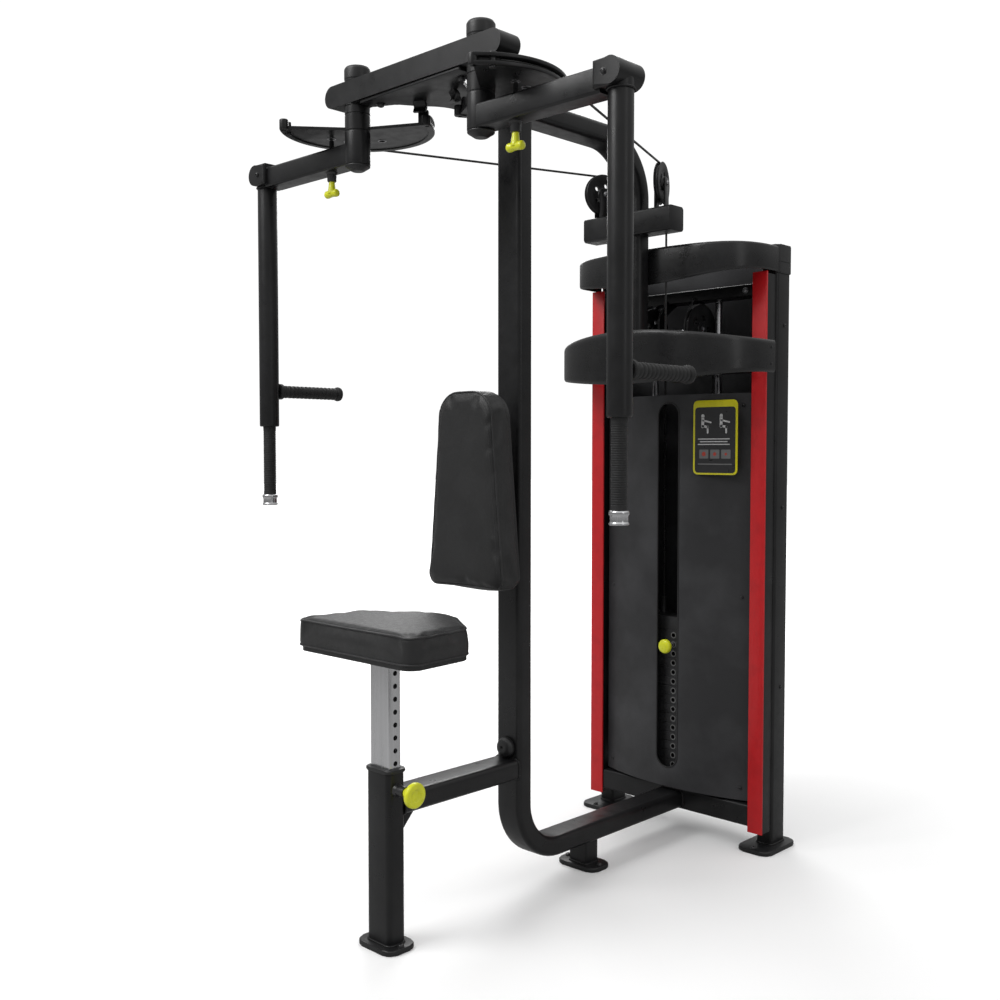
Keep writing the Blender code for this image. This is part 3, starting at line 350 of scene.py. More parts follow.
BLACK_COAT = powder_coat("black_powder_coat", (0.0072, 0.0072, 0.0077), 0.34)
PANEL_COAT = powder_coat("dark_grey_coat", (0.030, 0.030, 0.032), 0.46)
COVER = moulded("black_cover_plastic", (0.0075, 0.0075, 0.0080), 0.30)
CAP = moulded("black_cap_plastic", (0.0085, 0.0085, 0.0090), 0.42)
RED = gloss("red_strip_film", (0.62, 0.0075, 0.012), 0.42, 0.12)
YELLOW = gloss("yellow_knob_plastic", (0.80, 0.83, 0.018), 0.30, 0.30)
LEATHER = leather("black_leather", (0.0062, 0.0062, 0.0065), 0.46)
PIPING = leather("black_piping", (0.012, 0.012, 0.0125), 0.42)
THREAD = rubber("black_thread", (0.030, 0.030, 0.031))
RUBBER = rubber("black_rubber", (0.0075, 0.0075, 0.0078))
CHROME = bare_metal("chrome", (0.60, 0.60, 0.61), 0.20, (1, 1, 0.02), 0.02)
STEEL = bare_metal("ground_steel", (0.62, 0.62, 0.64), 0.24, (1, 1, 0.03), 0.06)
ZINC = bare_metal("zinc_bolt", (0.36, 0.36, 0.37), 0.34, (1, 1, 1), 0.10)
BLACK_BOLT = moulded("black_oxide_bolt", (0.020, 0.020, 0.021), 0.30)
IRON = cast("weight_plate_paint", (0.017, 0.017, 0.018))
CABLE_SKIN = moulded("cable_coating", (0.010, 0.010, 0.010), 0.28)
SIGN_FACE = gloss("sign_face", (0.020, 0.020, 0.022), 0.32, 0.20)
SIGN_YELLOW = gloss("sign_yellow", (0.72, 0.66, 0.010), 0.34, 0.20)
SIGN_PALE = gloss("sign_pale", (0.62, 0.62, 0.62), 0.40, 0.10)
SIGN_GREY = gloss("sign_grey", (0.16, 0.16, 0.16), 0.45, 0.05)
SIGN_RED = gloss("sign_red", (0.45, 0.05, 0.03), 0.40, 0.10)


# ---------------------------------------------------------------- mesh tools

def piece(name, shape, material, body, slot=None, stands_for=(), sharp=34):
    """Turns a bmesh into a shown piece that rides on a body."""
    mesh = bpy.data.meshes.new(name)
    bmesh.ops.recalc_face_normals(shape, faces=shape.faces)
    shape.to_mesh(mesh)
    shape.free()
    mesh.shade_smooth()
    mesh.set_sharp_from_angle(angle=math.radians(sharp))
    mesh.materials.append(material)
    return shown(bpy.data.objects.new(name, mesh), body, stands_for)


def shown(obj, body, stands_for=()):
    if obj.name not in scene.collection.objects:
        scene.collection.objects.link(obj)
    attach(obj, body)
    if stands_for:
        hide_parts(*stands_for)
    return obj


def facing(place, axis):
    """The matrix that takes local +Z to an axis at a place."""
    turn = Vector(axis).to_track_quat("Z", "Y").to_matrix().to_4x4()
    return Matrix.Translation(place) @ turn


def spin(shape, profile, matrix=None, steps=48):
    """Adds a turned solid. The profile's (radius, height) points run along its outline, both ends on the axis
    or closed in a ring; a third number makes that ring a polygon with so many sides."""
    matrix = matrix or Matrix.Identity(4)
    rings = []
    for radius, height, *sides in profile:
        if radius < 1e-6:
            rings.append([shape.verts.new(matrix @ Vector((0, 0, height)))])
            continue
        ring = []
        for index in range(steps):
            turn = 2 * math.pi * index / steps
            reach = radius
            if sides:
                part = 2 * math.pi / sides[0]
                reach *= math.cos(part / 2) / math.cos(turn % part - part / 2)
            point = Vector((reach * math.cos(turn), reach * math.sin(turn), height))
            ring.append(shape.verts.new(matrix @ point))
        rings.append(ring)
    closed = profile[0][0] > 1e-6
    for upper, lower in zip(rings, rings[1:] + (rings[:1] if closed else [])):
        for index in range(steps):
            corners = [upper[index % len(upper)], upper[(index + 1) % len(upper)],
                       lower[(index + 1) % len(lower)], lower[index % len(lower)]]
            shape.faces.new(list(dict.fromkeys(corners)))


def rod(radius, top, bottom):
    """The profile of a plain rod."""
    return [(0, top), (radius, top), (radius, bottom), (0, bottom)]


def bridge(shape, rings, closed=False):
    """Joins each ring of points to the next one. An open run of rings gets end faces."""
    count = len(rings[0])
    for first, second in zip(rings, rings[1:] + (rings[:1] if closed else [])):
        for index in range(count):
            after = (index + 1) % count
            shape.faces.new((first[index], first[after], second[after], second[index]))
    if not closed:
        shape.faces.new(rings[0][::-1])
        shape.faces.new(rings[-1])


def softened(points, radius, count=3, closed=False):
    """The same line with each corner rounded off."""
    made = []
    total = len(points)
    for index, point in enumerate(points):
        if not closed and index in (0, total - 1):
            made.append(tuple(point))
            continue
        here = Vector(point)
        before, after = Vector(points[index - 1]), Vector(points[(index + 1) % total])
        back, ahead = before - here, after - here
        reach = min(radius, back.length * 0.45, ahead.length * 0.45)
        start, end = here + back.normalized() * reach, here + ahead.normalized() * reach
        for step in range(count + 1):
            t = step / count
            made.append(tuple(start * (1 - t) ** 2 + here * 2 * t * (1 - t) + end * t ** 2))
    return made


def lathe(name, profile, material, body, place=(0, 0, 0), axis=(0, 0, 1), soft=0.0, steps=48, **more):
    """A turned piece; soft rounds the corners of its profile."""
    shape = bmesh.new()
    if soft:
        profile = softened(profile, soft)
    spin(shape, profile, facing(place, axis), steps)
    return piece(name, shape, material, body, **more)


PLANES = {
    "XY": lambda across, along, depth: (across, along, depth),
    "XZ": lambda across, along, depth: (across, depth, along),
    "YZ": lambda across, along, depth: (depth, across, along),
}


def add_prism(shape, outline, start, end, plane="XY", bevel=0.0, segments=3):
    """Adds an outline given depth from start to end, with its rims rounded."""
    place = PLANES[plane]
    near = [shape.verts.new(place(a, b, start)) for a, b in outline]
    far = [shape.verts.new(place(a, b, end)) for a, b in outline]
    caps = [shape.faces.new(near), shape.faces.new(far[::-1])]
    count = len(outline)
    for index in range(count):
        after = (index + 1) % count
        shape.faces.new((near[index], far[index], far[after], near[after]))
    if bevel:
        rims = {edge for cap in caps for edge in cap.edges}
        bmesh.ops.bevel(shape, geom=list(rims), offset=bevel, segments=segments, profile=0.5,
                        affect="EDGES", clamp_overlap=True)


def prism(name, outline, start, end, material, body, plane="XY", bevel=0.0, segments=3, **more):
    shape = bmesh.new()
    add_prism(shape, outline, start, end, plane, bevel, segments)
    return piece(name, shape, material, body, **more)


def add_block(shape, corner, far, bevel=0.0, segments=3, matrix=None):
    """Adds a box between two corners, with its edges rounded."""
    corner, far = Vector(corner), Vector(far)
    made = bmesh.ops.create_cube(shape, size=1.0)["verts"]
    bmesh.ops.scale(shape, vec=far - corner, verts=made)
    bmesh.ops.translate(shape, vec=(corner + far) / 2, verts=made)
    if matrix:
        bmesh.ops.transform(shape, matrix=matrix, verts=made)
    if bevel:
        edges = {edge for vert in made for edge in vert.link_edges}
        bmesh.ops.bevel(shape, geom=list(edges), offset=bevel, segments=segments, profile=0.5,
                        affect="EDGES", clamp_overlap=True)


def block(name, corner, far, material, body, bevel=0.0, segments=3, matrix=None, **more):
    shape = bmesh.new()
    add_block(shape, corner, far, bevel, segments, matrix)
    return piece(name, shape, material, body, **more)


def arc(centre, radius, start, end, count):
    """Points from one angle to another in degrees, ends included."""
    turns = [math.radians(start + (end - start) * index / count) for index in range(count + 1)]
    return [(centre[0] + radius * math.cos(turn), centre[1] + radius * math.sin(turn)) for turn in turns]


def rounded(half_x, half_y, radius, centre=(0, 0), count=6):
    """A rectangle with round corners, counter-clockwise."""
    outline = []
    for quarter, (side_x, side_y) in enumerate(((1, 1), (-1, 1), (-1, -1), (1, -1))):
        corner = (centre[0] + side_x * (half_x - radius), centre[1] + side_y * (half_y - radius))
        outline += arc(corner, radius, 90 * quarter, 90 * quarter + 90, count)
    return outline


def add_tube(shape, path, section, up=(1, 0, 0), closed=False):
    """Sweeps a section along a path. A section point is (along up, outward from the path)."""
    up = Vector(up).normalized()
    rings = []
    total = len(path)
    for index, point in enumerate(path):
        before = path[(index - 1) % total] if closed else path[max(index - 1, 0)]
        after = path[(index + 1) % total] if closed else path[min(index + 1, total - 1)]
        along = (Vector(after) - Vector(before)).normalized()
        out = along.cross(up).normalized()
        side = out.cross(along).normalized()
        rings.append([shape.verts.new(Vector(point) + side * a + out * b) for a, b in section])
    bridge(shape, rings, closed)


def circle(radius, count=12):
    return arc((0, 0), radius, 0, 360 - 360 / count, count - 1)


def tube(name, path, section, material, body, up=(1, 0, 0), closed=False, **more):
    shape = bmesh.new()
    add_tube(shape, path, section, up, closed)
    return piece(name, shape, material, body, **more)


def add_sheet(shape, rows, thickness):
    """Adds a closed sheet: the rows make its outer side, and the thickness goes inwards, along +Y."""
    def side(offset):
        return [[shape.verts.new(Vector(point) + shift * offset) for point, shift in zip(row, inward(row))]
                for row in rows]

    def inward(row):
        shifts = []
        for index, point in enumerate(row):
            before, after = Vector(row[max(index - 1, 0)]), Vector(row[min(index + 1, len(row) - 1)])
            along = after - before
            shifts.append(Vector((-along.y, along.x, 0)).normalized())
        return shifts

    outer, inner = side(0), side(thickness)
    down, across = len(rows), len(rows[0])
    for i in range(down - 1):
        for j in range(across - 1):
            shape.faces.new((outer[i][j], outer[i][j + 1], outer[i + 1][j + 1], outer[i + 1][j]))
            shape.faces.new((inner[i][j], inner[i + 1][j], inner[i + 1][j + 1], inner[i][j + 1]))
    for j in range(across - 1):
        for i in (0, down - 1):
            shape.faces.new((outer[i][j], inner[i][j], inner[i][j + 1], outer[i][j + 1]))
    for i in range(down - 1):
        for j in (0, across - 1):
            shape.faces.new((outer[i][j], outer[i + 1][j], inner[i + 1][j], inner[i][j]))


def cut(obj, shape):
    """Cuts a bmesh out of a piece for good."""
    bmesh.ops.recalc_face_normals(shape, faces=shape.faces)
    mesh = bpy.data.meshes.new("cutter")
    shape.to_mesh(mesh)
    shape.free()
    tool = bpy.data.objects.new("cutter", mesh)
    scene.collection.objects.link(tool)
    step = obj.modifiers.new("cut", "BOOLEAN")
    step.object = tool
    apply_modifiers(obj)
    bpy.data.objects.remove(tool)


def apply_modifiers(obj):
    graph = bpy.context.evaluated_depsgraph_get()
    made = bpy.data.meshes.new_from_object(obj.evaluated_get(graph))
    obj.modifiers.clear()
    old = obj.data
    obj.data = made
    bpy.data.meshes.remove(old)
    made.shade_smooth()
    made.set_sharp_from_angle(angle=math.radians(34))


def rods(places, axis, radius, start, end, steps=32):
    """A bmesh of plain rods along an axis, as a cutter."""
    shape = bmesh.new()
    for place in places:
        spin(shape, rod(radius, end, start), facing(place, axis), steps)
    return shape


def add_bolt(shape, place, axis, size):
    """Adds a washer and a button-head bolt with a hexagon socket; size is the thread's radius."""
    washer = rod(2.1 * size, 0.0, 0.32 * size)
    head = [(0, 0.9 * size), (0.62 * size, 0.9 * size, 6), (0.66 * size, 1.38 * size, 6),
            (0.95 * size, 1.36 * size), (1.35 * size, 1.15 * size), (1.6 * size, 0.75 * size),
            (1.66 * size, 0.33 * size), (0, 0.33 * size)]
    for profile in (washer, head):
        spin(shape, profile, facing(place, axis), 24)


def bolts(name, places, axis, size, body, material=None):
    shape = bmesh.new()
    for place in places:
        add_bolt(shape, place, axis, size)
    return piece(name, shape, material or BLACK_BOLT, body)


def weld_bead(name, path, body, radius=0.0028, closed=False):
    """A fine weld seam: a round bead with its ripples."""
    points = []
    spans = zip(path, path[1:] + path[:1]) if closed else zip(path, path[1:])
    for first, second in spans:
        first, second = Vector(first), Vector(second)
        steps = max(1, round((second - first).length / 0.0022))
        points += [first.lerp(second, step / steps) for step in range(steps)]
    if not closed:
        points.append(Vector(path[-1]))
    shape = bmesh.new()
    rings = []
    count = len(points)
    for index, point in enumerate(points):
        before = points[(index - 1) % count] if closed else points[max(index - 1, 0)]
        after = points[(index + 1) % count] if closed else points[min(index + 1, count - 1)]
        matrix = facing(point, after - before)
        swell = radius * (1 + 0.16 * math.cos(index * math.pi))
        rings.append([shape.verts.new(matrix @ Vector((a, b, 0))) for a, b in circle(swell, 8)])
    bridge(shape, rings, closed)
    return piece(name, shape, BLACK_COAT, body, sharp=60)


# ---------------------------------------------------------------- main frame

HALF_WIDE = high("mast_tube").x
HALF_THIN = (high("seat_rail").z - low("seat_rail").z) / 2
TUBE_ROUND = 0.0135
MAST_Y = low("mast_tube").y + HALF_THIN
RAIL_Z = low("mast_tube").z + HALF_THIN
MAST_TOP = high("mast_tube").z
MAST_BEND = 0.135
REAR_Y = high("rear_top_tube").y - HALF_THIN
REAR_BEND = 0.150
OVAL = rounded(HALF_WIDE, HALF_THIN, TUBE_ROUND, count=7)
STOP_R = 0.162
STOP_TURN = 23.2


def oval_bead(name, y, z):
    """The weld round the end of an oval tube that meets a face square to Y."""
    path = [(a, y, z + b) for a, b in rounded(HALF_WIDE, HALF_THIN, TUBE_ROUND)]
    weld_bead(name, path, "frame", closed=True)


def mast():
    """The upright and the base rail in one bent flat-oval tube, with its plug and the weld to the tower."""
    path = [(0, high("mast_tube").y, RAIL_Z)]
    path += [(0, y, z) for y, z in arc((MAST_Y + MAST_BEND, RAIL_Z + MAST_BEND), MAST_BEND, 270, 180, 28)]
    path += [(0, MAST_Y, MAST_TOP)]
    tube("mast", path, OVAL, BLACK_COAT, "frame", slot="frame_paint", stands_for=["mast_tube"])
    prism("mast_plug", rounded(HALF_WIDE, HALF_THIN, TUBE_ROUND, (0, MAST_Y)), MAST_TOP, MAST_TOP + 0.004,
          CAP, "frame", bevel=0.0018)
    oval_bead("tower_weld", low("base_beam").y - 0.001, RAIL_Z)


def rear_tube():
    """The bent tube from the mast back and down to the pulley bar."""
    top = high("rear_top_tube").z - HALF_THIN
    path = [(0, low("rear_top_tube").y, top)]
    path += [(0, y, z) for y, z in arc((REAR_Y - REAR_BEND, top - REAR_BEND), REAR_BEND, 90, 0, 28)]
    path += [(0, REAR_Y, low("rear_top_tube").z)]
    tube("rear_tube", path, OVAL, BLACK_COAT, "frame", slot="frame_paint", stands_for=["rear_top_tube"])
    oval_bead("rear_tube_weld", low("rear_top_tube").y, top)


def pivot_bar():
    """The bar over the seat, half round at its ends, with a barrel through it at each pivot."""
    corner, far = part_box("crossbar")
    half_y = (far.y - corner.y) / 2
    bottom = MAST_TOP - 0.043
    round_r = (far.z - bottom) / 2
    centre_z = bottom + round_r
    outline = arc((far.x - round_r, centre_z), round_r, -90, 90, 24)
    outline += arc((corner.x + round_r, centre_z), round_r, 90, 270, 24)
    prism("pivot_bar", outline, corner.y, far.y, BLACK_COAT, "frame", "XZ", bevel=0.0125, segments=6,
          slot="frame_paint", stands_for=["crossbar"])
    for word, side in SIDES:
        x = side * PIVOT_X
        barrel_top, barrel_foot = far.z + 0.0008, high(f"cam_{word}").z + 0.0003
        profile = [(0, barrel_top), (half_y, barrel_top), (half_y, bottom - 0.0030),
                   (half_y - 0.0015, bottom - 0.0036), (half_y - 0.0015, bottom - 0.0052),
                   (half_y, bottom - 0.0058), (half_y, barrel_foot), (0, barrel_foot)]
        lathe(f"pivot_barrel_{word}", profile, BLACK_COAT, "frame", (x, PIVOT_Y, 0), steps=64)


def pivot_ends():
    """The cap over each pivot and the cone-ended nut under it."""
    for word, side in SIDES:
        node = f"pivot_shaft_{word}"
        corner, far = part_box(node)
        x, cap_r = side * PIVOT_X, (far.x - corner.x) / 2
        seat = high("crossbar").z + 0.0008
        cap = [(0, far.z), (cap_r - 0.004, far.z), (cap_r, far.z - 0.006), (cap_r, seat + 0.006),
               (cap_r - 0.0012, seat + 0.004), (cap_r - 0.0012, seat), (0, seat)]
        lathe(f"pivot_cap_{word}", cap, CAP, "frame", (x, PIVOT_Y, 0), soft=0.002, steps=56,
              slot="pivot_paint", stands_for=[node])
        nut_top = cam_bottom(word) - 0.0765
        nut = [(0, nut_top), (0.0295, nut_top), (0.0295, nut_top - 0.004), (0.014, corner.z), (0, corner.z)]
        lathe(f"pivot_nut_{word}", nut, CAP, "frame", (x, PIVOT_Y, 0), soft=0.0015, steps=56)
        lathe(f"pivot_pin_{word}", rod(0.0123, seat, nut_top), STEEL, "frame", (x, PIVOT_Y, 0))


def bar_bracket():
    """The plate that ties the bar to the mast, and the two curved cam stops."""
    corner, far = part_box("crossbar_bracket")
    front, back = corner.y, far.y
    right = [(far.x, front), (far.x, PIVOT_Y + 0.012), (0.110, PIVOT_Y + 0.040)]
    right += arc((0.140, PIVOT_Y + 0.170), 0.100, -128, -180, 14)
    right += [(HALF_WIDE, back)]
    outline = right + [(-x, y) for x, y in reversed(right)]
    shape = bmesh.new()
    add_prism(shape, softened(outline, 0.006, closed=True), far.z - 0.008, far.z, bevel=0.0012, segments=2)
    piece("bar_bracket", shape, BLACK_COAT, "frame", slot="frame_paint", stands_for=["crossbar_bracket"])
    for word, side in SIDES:
        lug = high(f"cam_{word}").z - 0.012
        turn = math.radians(STOP_TURN)
        place = Vector((side * (PIVOT_X - STOP_R * math.cos(turn)), PIVOT_Y + STOP_R * math.sin(turn), 0))
        spin_round = Matrix.Translation(place) @ Matrix.Rotation(-side * turn, 4, "Z")
        strap_top, strap_foot = far.z - 0.007, lug + 0.001
        bow = []
        for step in range(9):
            part = step / 8
            bow.append((-0.004 + 0.010 * math.sin(math.pi * part), strap_top + (strap_foot - strap_top) * part))
        outline = [(y - 0.006, z) for y, z in bow] + [(y + 0.004, z) for y, z in reversed(bow)]
        shape = bmesh.new()
        add_prism(shape, outline, -0.015, 0.015, "YZ", bevel=0.0016, segments=2)
        bmesh.ops.transform(shape, matrix=spin_round, verts=shape.verts)
        piece(f"cam_stop_{word}", shape, BLACK_COAT, "frame")
        block(f"stop_buffer_{word}", (-0.010, 0.0055, lug + 0.0035), (0.010, 0.0130, lug + 0.0115),
              RUBBER, "frame", bevel=0.001, matrix=spin_round)
    spots = [(x, PIVOT_Y + 0.012, far.z - 0.008) for x in (-0.135, 0.135)]
    bolts("bracket_bolts", spots, (0, 0, -1), 0.005, "frame")


def seat_support():
    """The rail to the mast, the hollow upright with its gusset, and the collar on top."""
    corner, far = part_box("seat_rail")
    rail_z = (corner.z + far.z) / 2
    tube("rail", [(0, corner.y, rail_z), (0, far.y, rail_z)], OVAL, BLACK_COAT, "frame",
         slot="frame_paint", stands_for=["seat_rail"])
    oval_bead("rail_front_weld", corner.y, rail_z)
    oval_bead("rail_mast_weld", far.y, rail_z)
    top = low("seat_collar").z - 0.0005
    upright = prism("seat_upright", rounded(HALF_WIDE, HALF_THIN, TUBE_ROUND, (0, SEAT_Y)),
                    FOOT_TOP + 0.0003, top, BLACK_COAT, "frame", bevel=0.0015, segments=2,
                    slot="frame_paint", stands_for=["seat_sleeve"])
    bore = bmesh.new()
    add_prism(bore, rounded(0.0345, 0.0175, 0.004, (0, SEAT_Y)), 0.030, top + 0.01)
    cut(upright, bore)
    rear = SEAT_Y + HALF_THIN
    gusset = [(rear - 0.002, 0.228), (rear + 0.062, corner.z + 0.0005), (rear - 0.002, corner.z + 0.0005)]
    prism("seat_gusset", softened(gusset, 0.004, closed=True), -0.005, 0.005, BLACK_COAT, "frame", "YZ",
          bevel=0.0012)
    foot_path = [(x, SEAT_Y + y, FOOT_TOP + 0.001) for x, y in rounded(HALF_WIDE, HALF_THIN, TUBE_ROUND)]
    weld_bead("upright_weld", foot_path, "frame", closed=True)
    boss_end = high("seat_sleeve").x
    boss_root = HALF_WIDE - 0.001
    boss = [(0, boss_end), (0.0125, boss_end), (0.0125, 0.046), (0.016, boss_root), (0, boss_root)]
    pin_place = (0, SEAT_Y, middle("seat_pin").z)
    housing = lathe("seat_pin_housing", boss, BLACK_BOLT, "frame", pin_place, (1, 0, 0), 0.001)
    cut(housing, rods([pin_place], (1, 0, 0), 0.0066, 0.02, 0.08))
    collar = low("seat_collar").z
    ring = prism("seat_bush", rounded(0.043, 0.028, 0.014, (0, SEAT_Y)), collar, high("seat_collar").z, CAP,
                 "frame", bevel=0.0025, slot="cover_plastic", stands_for=["seat_collar"])
    hollow = bmesh.new()
    add_prism(hollow, rounded(0.0341, 0.0171, 0.004, (0, SEAT_Y)), collar - 0.01, collar + 0.02)
    cut(ring, hollow)


def mast_cover():
    """The round bolt cover low on the mast's front, just over the seat rail."""
    front = low("mast_tube").y
    profile = [(0, 0.0165), (0.0035, 0.0165), (0.0045, 0.0195), (0.013, 0.0195), (0.021, 0.0165),
               (0.0255, 0.010), (0.0255, 0.0), (0, 0.0)]
    place = (0, front, high("seat_rail").z + 0.026)
    lathe("mast_bolt_cover", profile, CAP, "frame", place, (0, -1, 0), 0.0018)


def feet():
    """Floor plates with their bolts, and the short post under the base rail."""
    post_y = middle("mast_foot").y
    for node in ("seat_foot", "mast_foot", "tower_foot_left", "tower_foot_right"):
        corner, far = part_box(node)
        half_x, half_y = (far.x - corner.x) / 2, (far.y - corner.y) / 2
        centre = ((far.x + corner.x) / 2, (far.y + corner.y) / 2)
        prism(f"{node}_plate", rounded(half_x, half_y, 0.024, centre, 8), 0, FOOT_TOP, CAP, "frame",
              bevel=0.0032, segments=4, slot="cover_plastic", stands_for=[node])
        if node.startswith("tower"):
            spots = [(centre[0], centre[1] - half_y * 0.84, FOOT_TOP)]
        else:
            spots = [(centre[0] + half_x * way, centre[1], FOOT_TOP) for way in (-0.83, 0.83)]
        bolts(f"{node}_bolts", spots, (0, 0, 1), 0.0042, "frame")
    post = (0.030, 0.025, 0.006)
    prism("mast_foot_post", rounded(*post, (0, post_y)), FOOT_TOP, RAIL_Z - HALF_THIN, BLACK_COAT, "frame",
          bevel=0.001)
    path = [(x, post_y + y, FOOT_TOP + 0.001) for x, y in rounded(*post)]
    weld_bead("foot_post_weld", path, "frame", closed=True)


# ---------------------------------------------------------------- seat

def seat_post():
    """The chromed post with its pin holes, a dark rubber disc deep in each hole as painted shade for the tube's
    hollow inside, and the plate under the pad.
    """
    plate_bottom = high("seat_post").z - 0.005
    post = prism("seat_stem", rounded(0.0335, 0.0165, 0.0045, (0, SEAT_Y)), low("seat_post").z, plate_bottom,
                 CHROME, "seat", bevel=0.001, segments=2, slot="chrome_tube", stands_for=["seat_post"])
    holes = [(0, SEAT_Y, middle("seat_pin").z + 0.0287 * step) for step in range(-4, 10)]
    cut(post, rods(holes, (1, 0, 0), 0.0058, 0.0215, 0.05, 28))
    # Painted shade: a dark rubber disc at the bottom of each blind hole stands in for the shadowed hollow
    # inside the post.
    hole_shade = bmesh.new()
    for place in holes:
        spin(hole_shade, rod(0.0057, 0.0235, 0.0217), facing(place, (1, 0, 0)), 24)
    piece("seat_stem_hole_shade", hole_shade, RUBBER, "seat")
    plate_y = middle("seat_post").y
    prism("seat_plate", rounded(0.100, 0.075, 0.012, (0, plate_y)), plate_bottom, plate_bottom + 0.005,
          BLACK_COAT, "seat", bevel=0.001)
    spots = [(x, plate_y + y, plate_bottom) for x in (-0.082, 0.082) for y in (-0.058, 0.058)]
    bolts("seat_plate_bolts", spots, (0, 0, -1), 0.004, "seat", ZINC)


def seat_knob():
    """The sprung pin's disc knob with a ribbed rim, its hub and its steel tip."""
    place, axis = (0, SEAT_Y, middle("seat_pin").z), (1, 0, 0)
    end = high("seat_pin").x
    disc = [(0, end - 0.0025), (0.012, end - 0.0025), (0.015, end), (0.025, end), (0.0282, end - 0.003),
            (0.0282, end - 0.011), (0.025, end - 0.0145), (0.012, end - 0.0165), (0.0105, end - 0.020),
            (0.0105, end - 0.0352), (0, end - 0.0352)]
    shape = bmesh.new()
    spin(shape, softened(disc, 0.0016), facing(place, axis), 60)
    ribs = 20
    for index in range(ribs):
        turn = Matrix.Rotation(2 * math.pi * index / ribs, 4, "Z")
        rib = facing(place, axis) @ turn @ Matrix.Translation((0.0274, 0, end - 0.007))
        add_block(shape, (-0.0006, -0.0012, -0.0036), (0.0006, 0.0012, 0.0036), 0.0004, 2, rib)
    piece("seat_knob", shape, YELLOW, "seat_lock", slot="yellow_plastic", stands_for=["seat_pin"])
    tip = low("seat_pin").x
    pin = [(0, end - 0.034), (0.0057, end - 0.034), (0.0057, tip + 0.002), (0.004, tip), (0, tip)]
    lathe("seat_knob_pin", pin, STEEL, "seat_lock", place, axis)


# ---------------------------------------------------------------- pads

def inflated(name, shape, fixed, cap, material, body, node):
    """A pad blown up as cloth from its cut shape. A point that fixed() names stays on the board, and no
    point moves further than cap."""
    mesh = bpy.data.meshes.new(name)
    bmesh.ops.recalc_face_normals(shape, faces=shape.faces)
    shape.to_mesh(mesh)
    shape.free()
    pad = bpy.data.objects.new(name, mesh)
    scene.collection.objects.link(pad)
    remesh = pad.modifiers.new("remesh", "REMESH")
    remesh.mode = "VOXEL"
    remesh.voxel_size = 0.0055
    apply_modifiers(pad)
    rest = [vert.co.copy() for vert in pad.data.vertices]
    held = pad.vertex_groups.new(name="held")
    held.add([vert.index for vert in pad.data.vertices if fixed(vert.co)], 1.0, "REPLACE")
    cloth = pad.modifiers.new("cloth", "CLOTH")
    cloth.settings.vertex_group_mass = "held"
    cloth.settings.use_pressure = True
    cloth.settings.uniform_pressure_force = 3.0
    cloth.settings.tension_stiffness = 30
    cloth.settings.compression_stiffness = 30
    cloth.settings.bending_stiffness = 9.0
    cloth.settings.effector_weights.gravity = 0
    for number in range(1, 21):
        scene.frame_set(number)
    apply_modifiers(pad)
    for vert, start in zip(pad.data.vertices, rest):
        moved = vert.co - start
        if moved.length > cap:
            vert.co = start + moved.normalized() * cap
    scene.frame_set(1)
    pad.vertex_groups.clear()
    smooth = pad.modifiers.new("smooth", "SMOOTH")
    smooth.factor = 0.5
    smooth.iterations = 2
    finer = pad.modifiers.new("finer", "SUBSURF")
    finer.levels = finer.render_levels = 1
    apply_modifiers(pad)
    pad.data.shade_smooth()
    pad.data.materials.clear()
    pad.data.materials.append(material)
    shown(pad, body, [node])
    return pad


def on_surface(pad, points, lift=0.0):
    """Each point moved to the nearest place on the pad's surface, and lifted off it."""
    tree = BVHTree.FromObject(pad, bpy.context.evaluated_depsgraph_get())
    found = []
    for point in points:
        place, normal, _, _ = tree.find_nearest(Vector(point))
        found.append(place + normal * lift)
    return found


HELD_BAND = 0.016
SEAM_STEP = 0.006
SEAM_REACH = 0.011


def seam(name, pad, points, radius, body, depth=0.0012):
    """Piping let into the pad along a closed line, and the valley that it makes in the leather."""
    path = on_surface(pad, points, radius * 0.25)
    for vert in pad.data.vertices:
        near = min((vert.co - place).length for place in path)
        if near < SEAM_REACH:
            vert.co -= vert.normal * depth * (1 - near / SEAM_REACH) ** 2
    count = len(path)
    for _ in range(3):
        path = [(path[i - 1] + path[i] * 2 + path[(i + 1) % count]) / 4 for i in range(count)]
    shape = bmesh.new()
    rings = []
    for index, place in enumerate(path):
        along = path[(index + 1) % count] - path[index - 1]
        level = abs(along.normalized().z) < 0.9
        out = along.cross(Vector((0, 0, 1) if level else (0, 1, 0)))
        side = out.cross(along).normalized()
        out = out.normalized()
        rings.append([shape.verts.new(place + out * a + side * b) for a, b in circle(radius, 10)])
    bridge(shape, rings, closed=True)
    piece(name, shape, PIPING, body, sharp=80)


def resampled(points, step):
    """A closed line with evenly spaced points."""
    made = []
    for index, point in enumerate(points):
        here, ahead = Vector(point), Vector(points[(index + 1) % len(points)])
        count = max(1, round((ahead - here).length / step))
        made += [here.lerp(ahead, part / count) for part in range(count)]
    return made


def stitches(name, pad, points, body, every=0.0065):
    """A row of short stitches along a closed line on the pad."""
    path = on_surface(pad, resampled(points, every), 0.0002)
    shape = bmesh.new()
    for index, place in enumerate(path):
        ahead = path[(index + 1) % len(path)]
        along = ahead - place
        if along.length < 0.002:
            continue
        matrix = facing(place.lerp(ahead, 0.5), along)
        half = along.length * 0.31
        spin(shape, [(0, half), (0.00055, half * 0.6), (0.00055, -half * 0.6), (0, -half)], matrix, 6)
    piece(name, shape, THREAD, body, sharp=80)


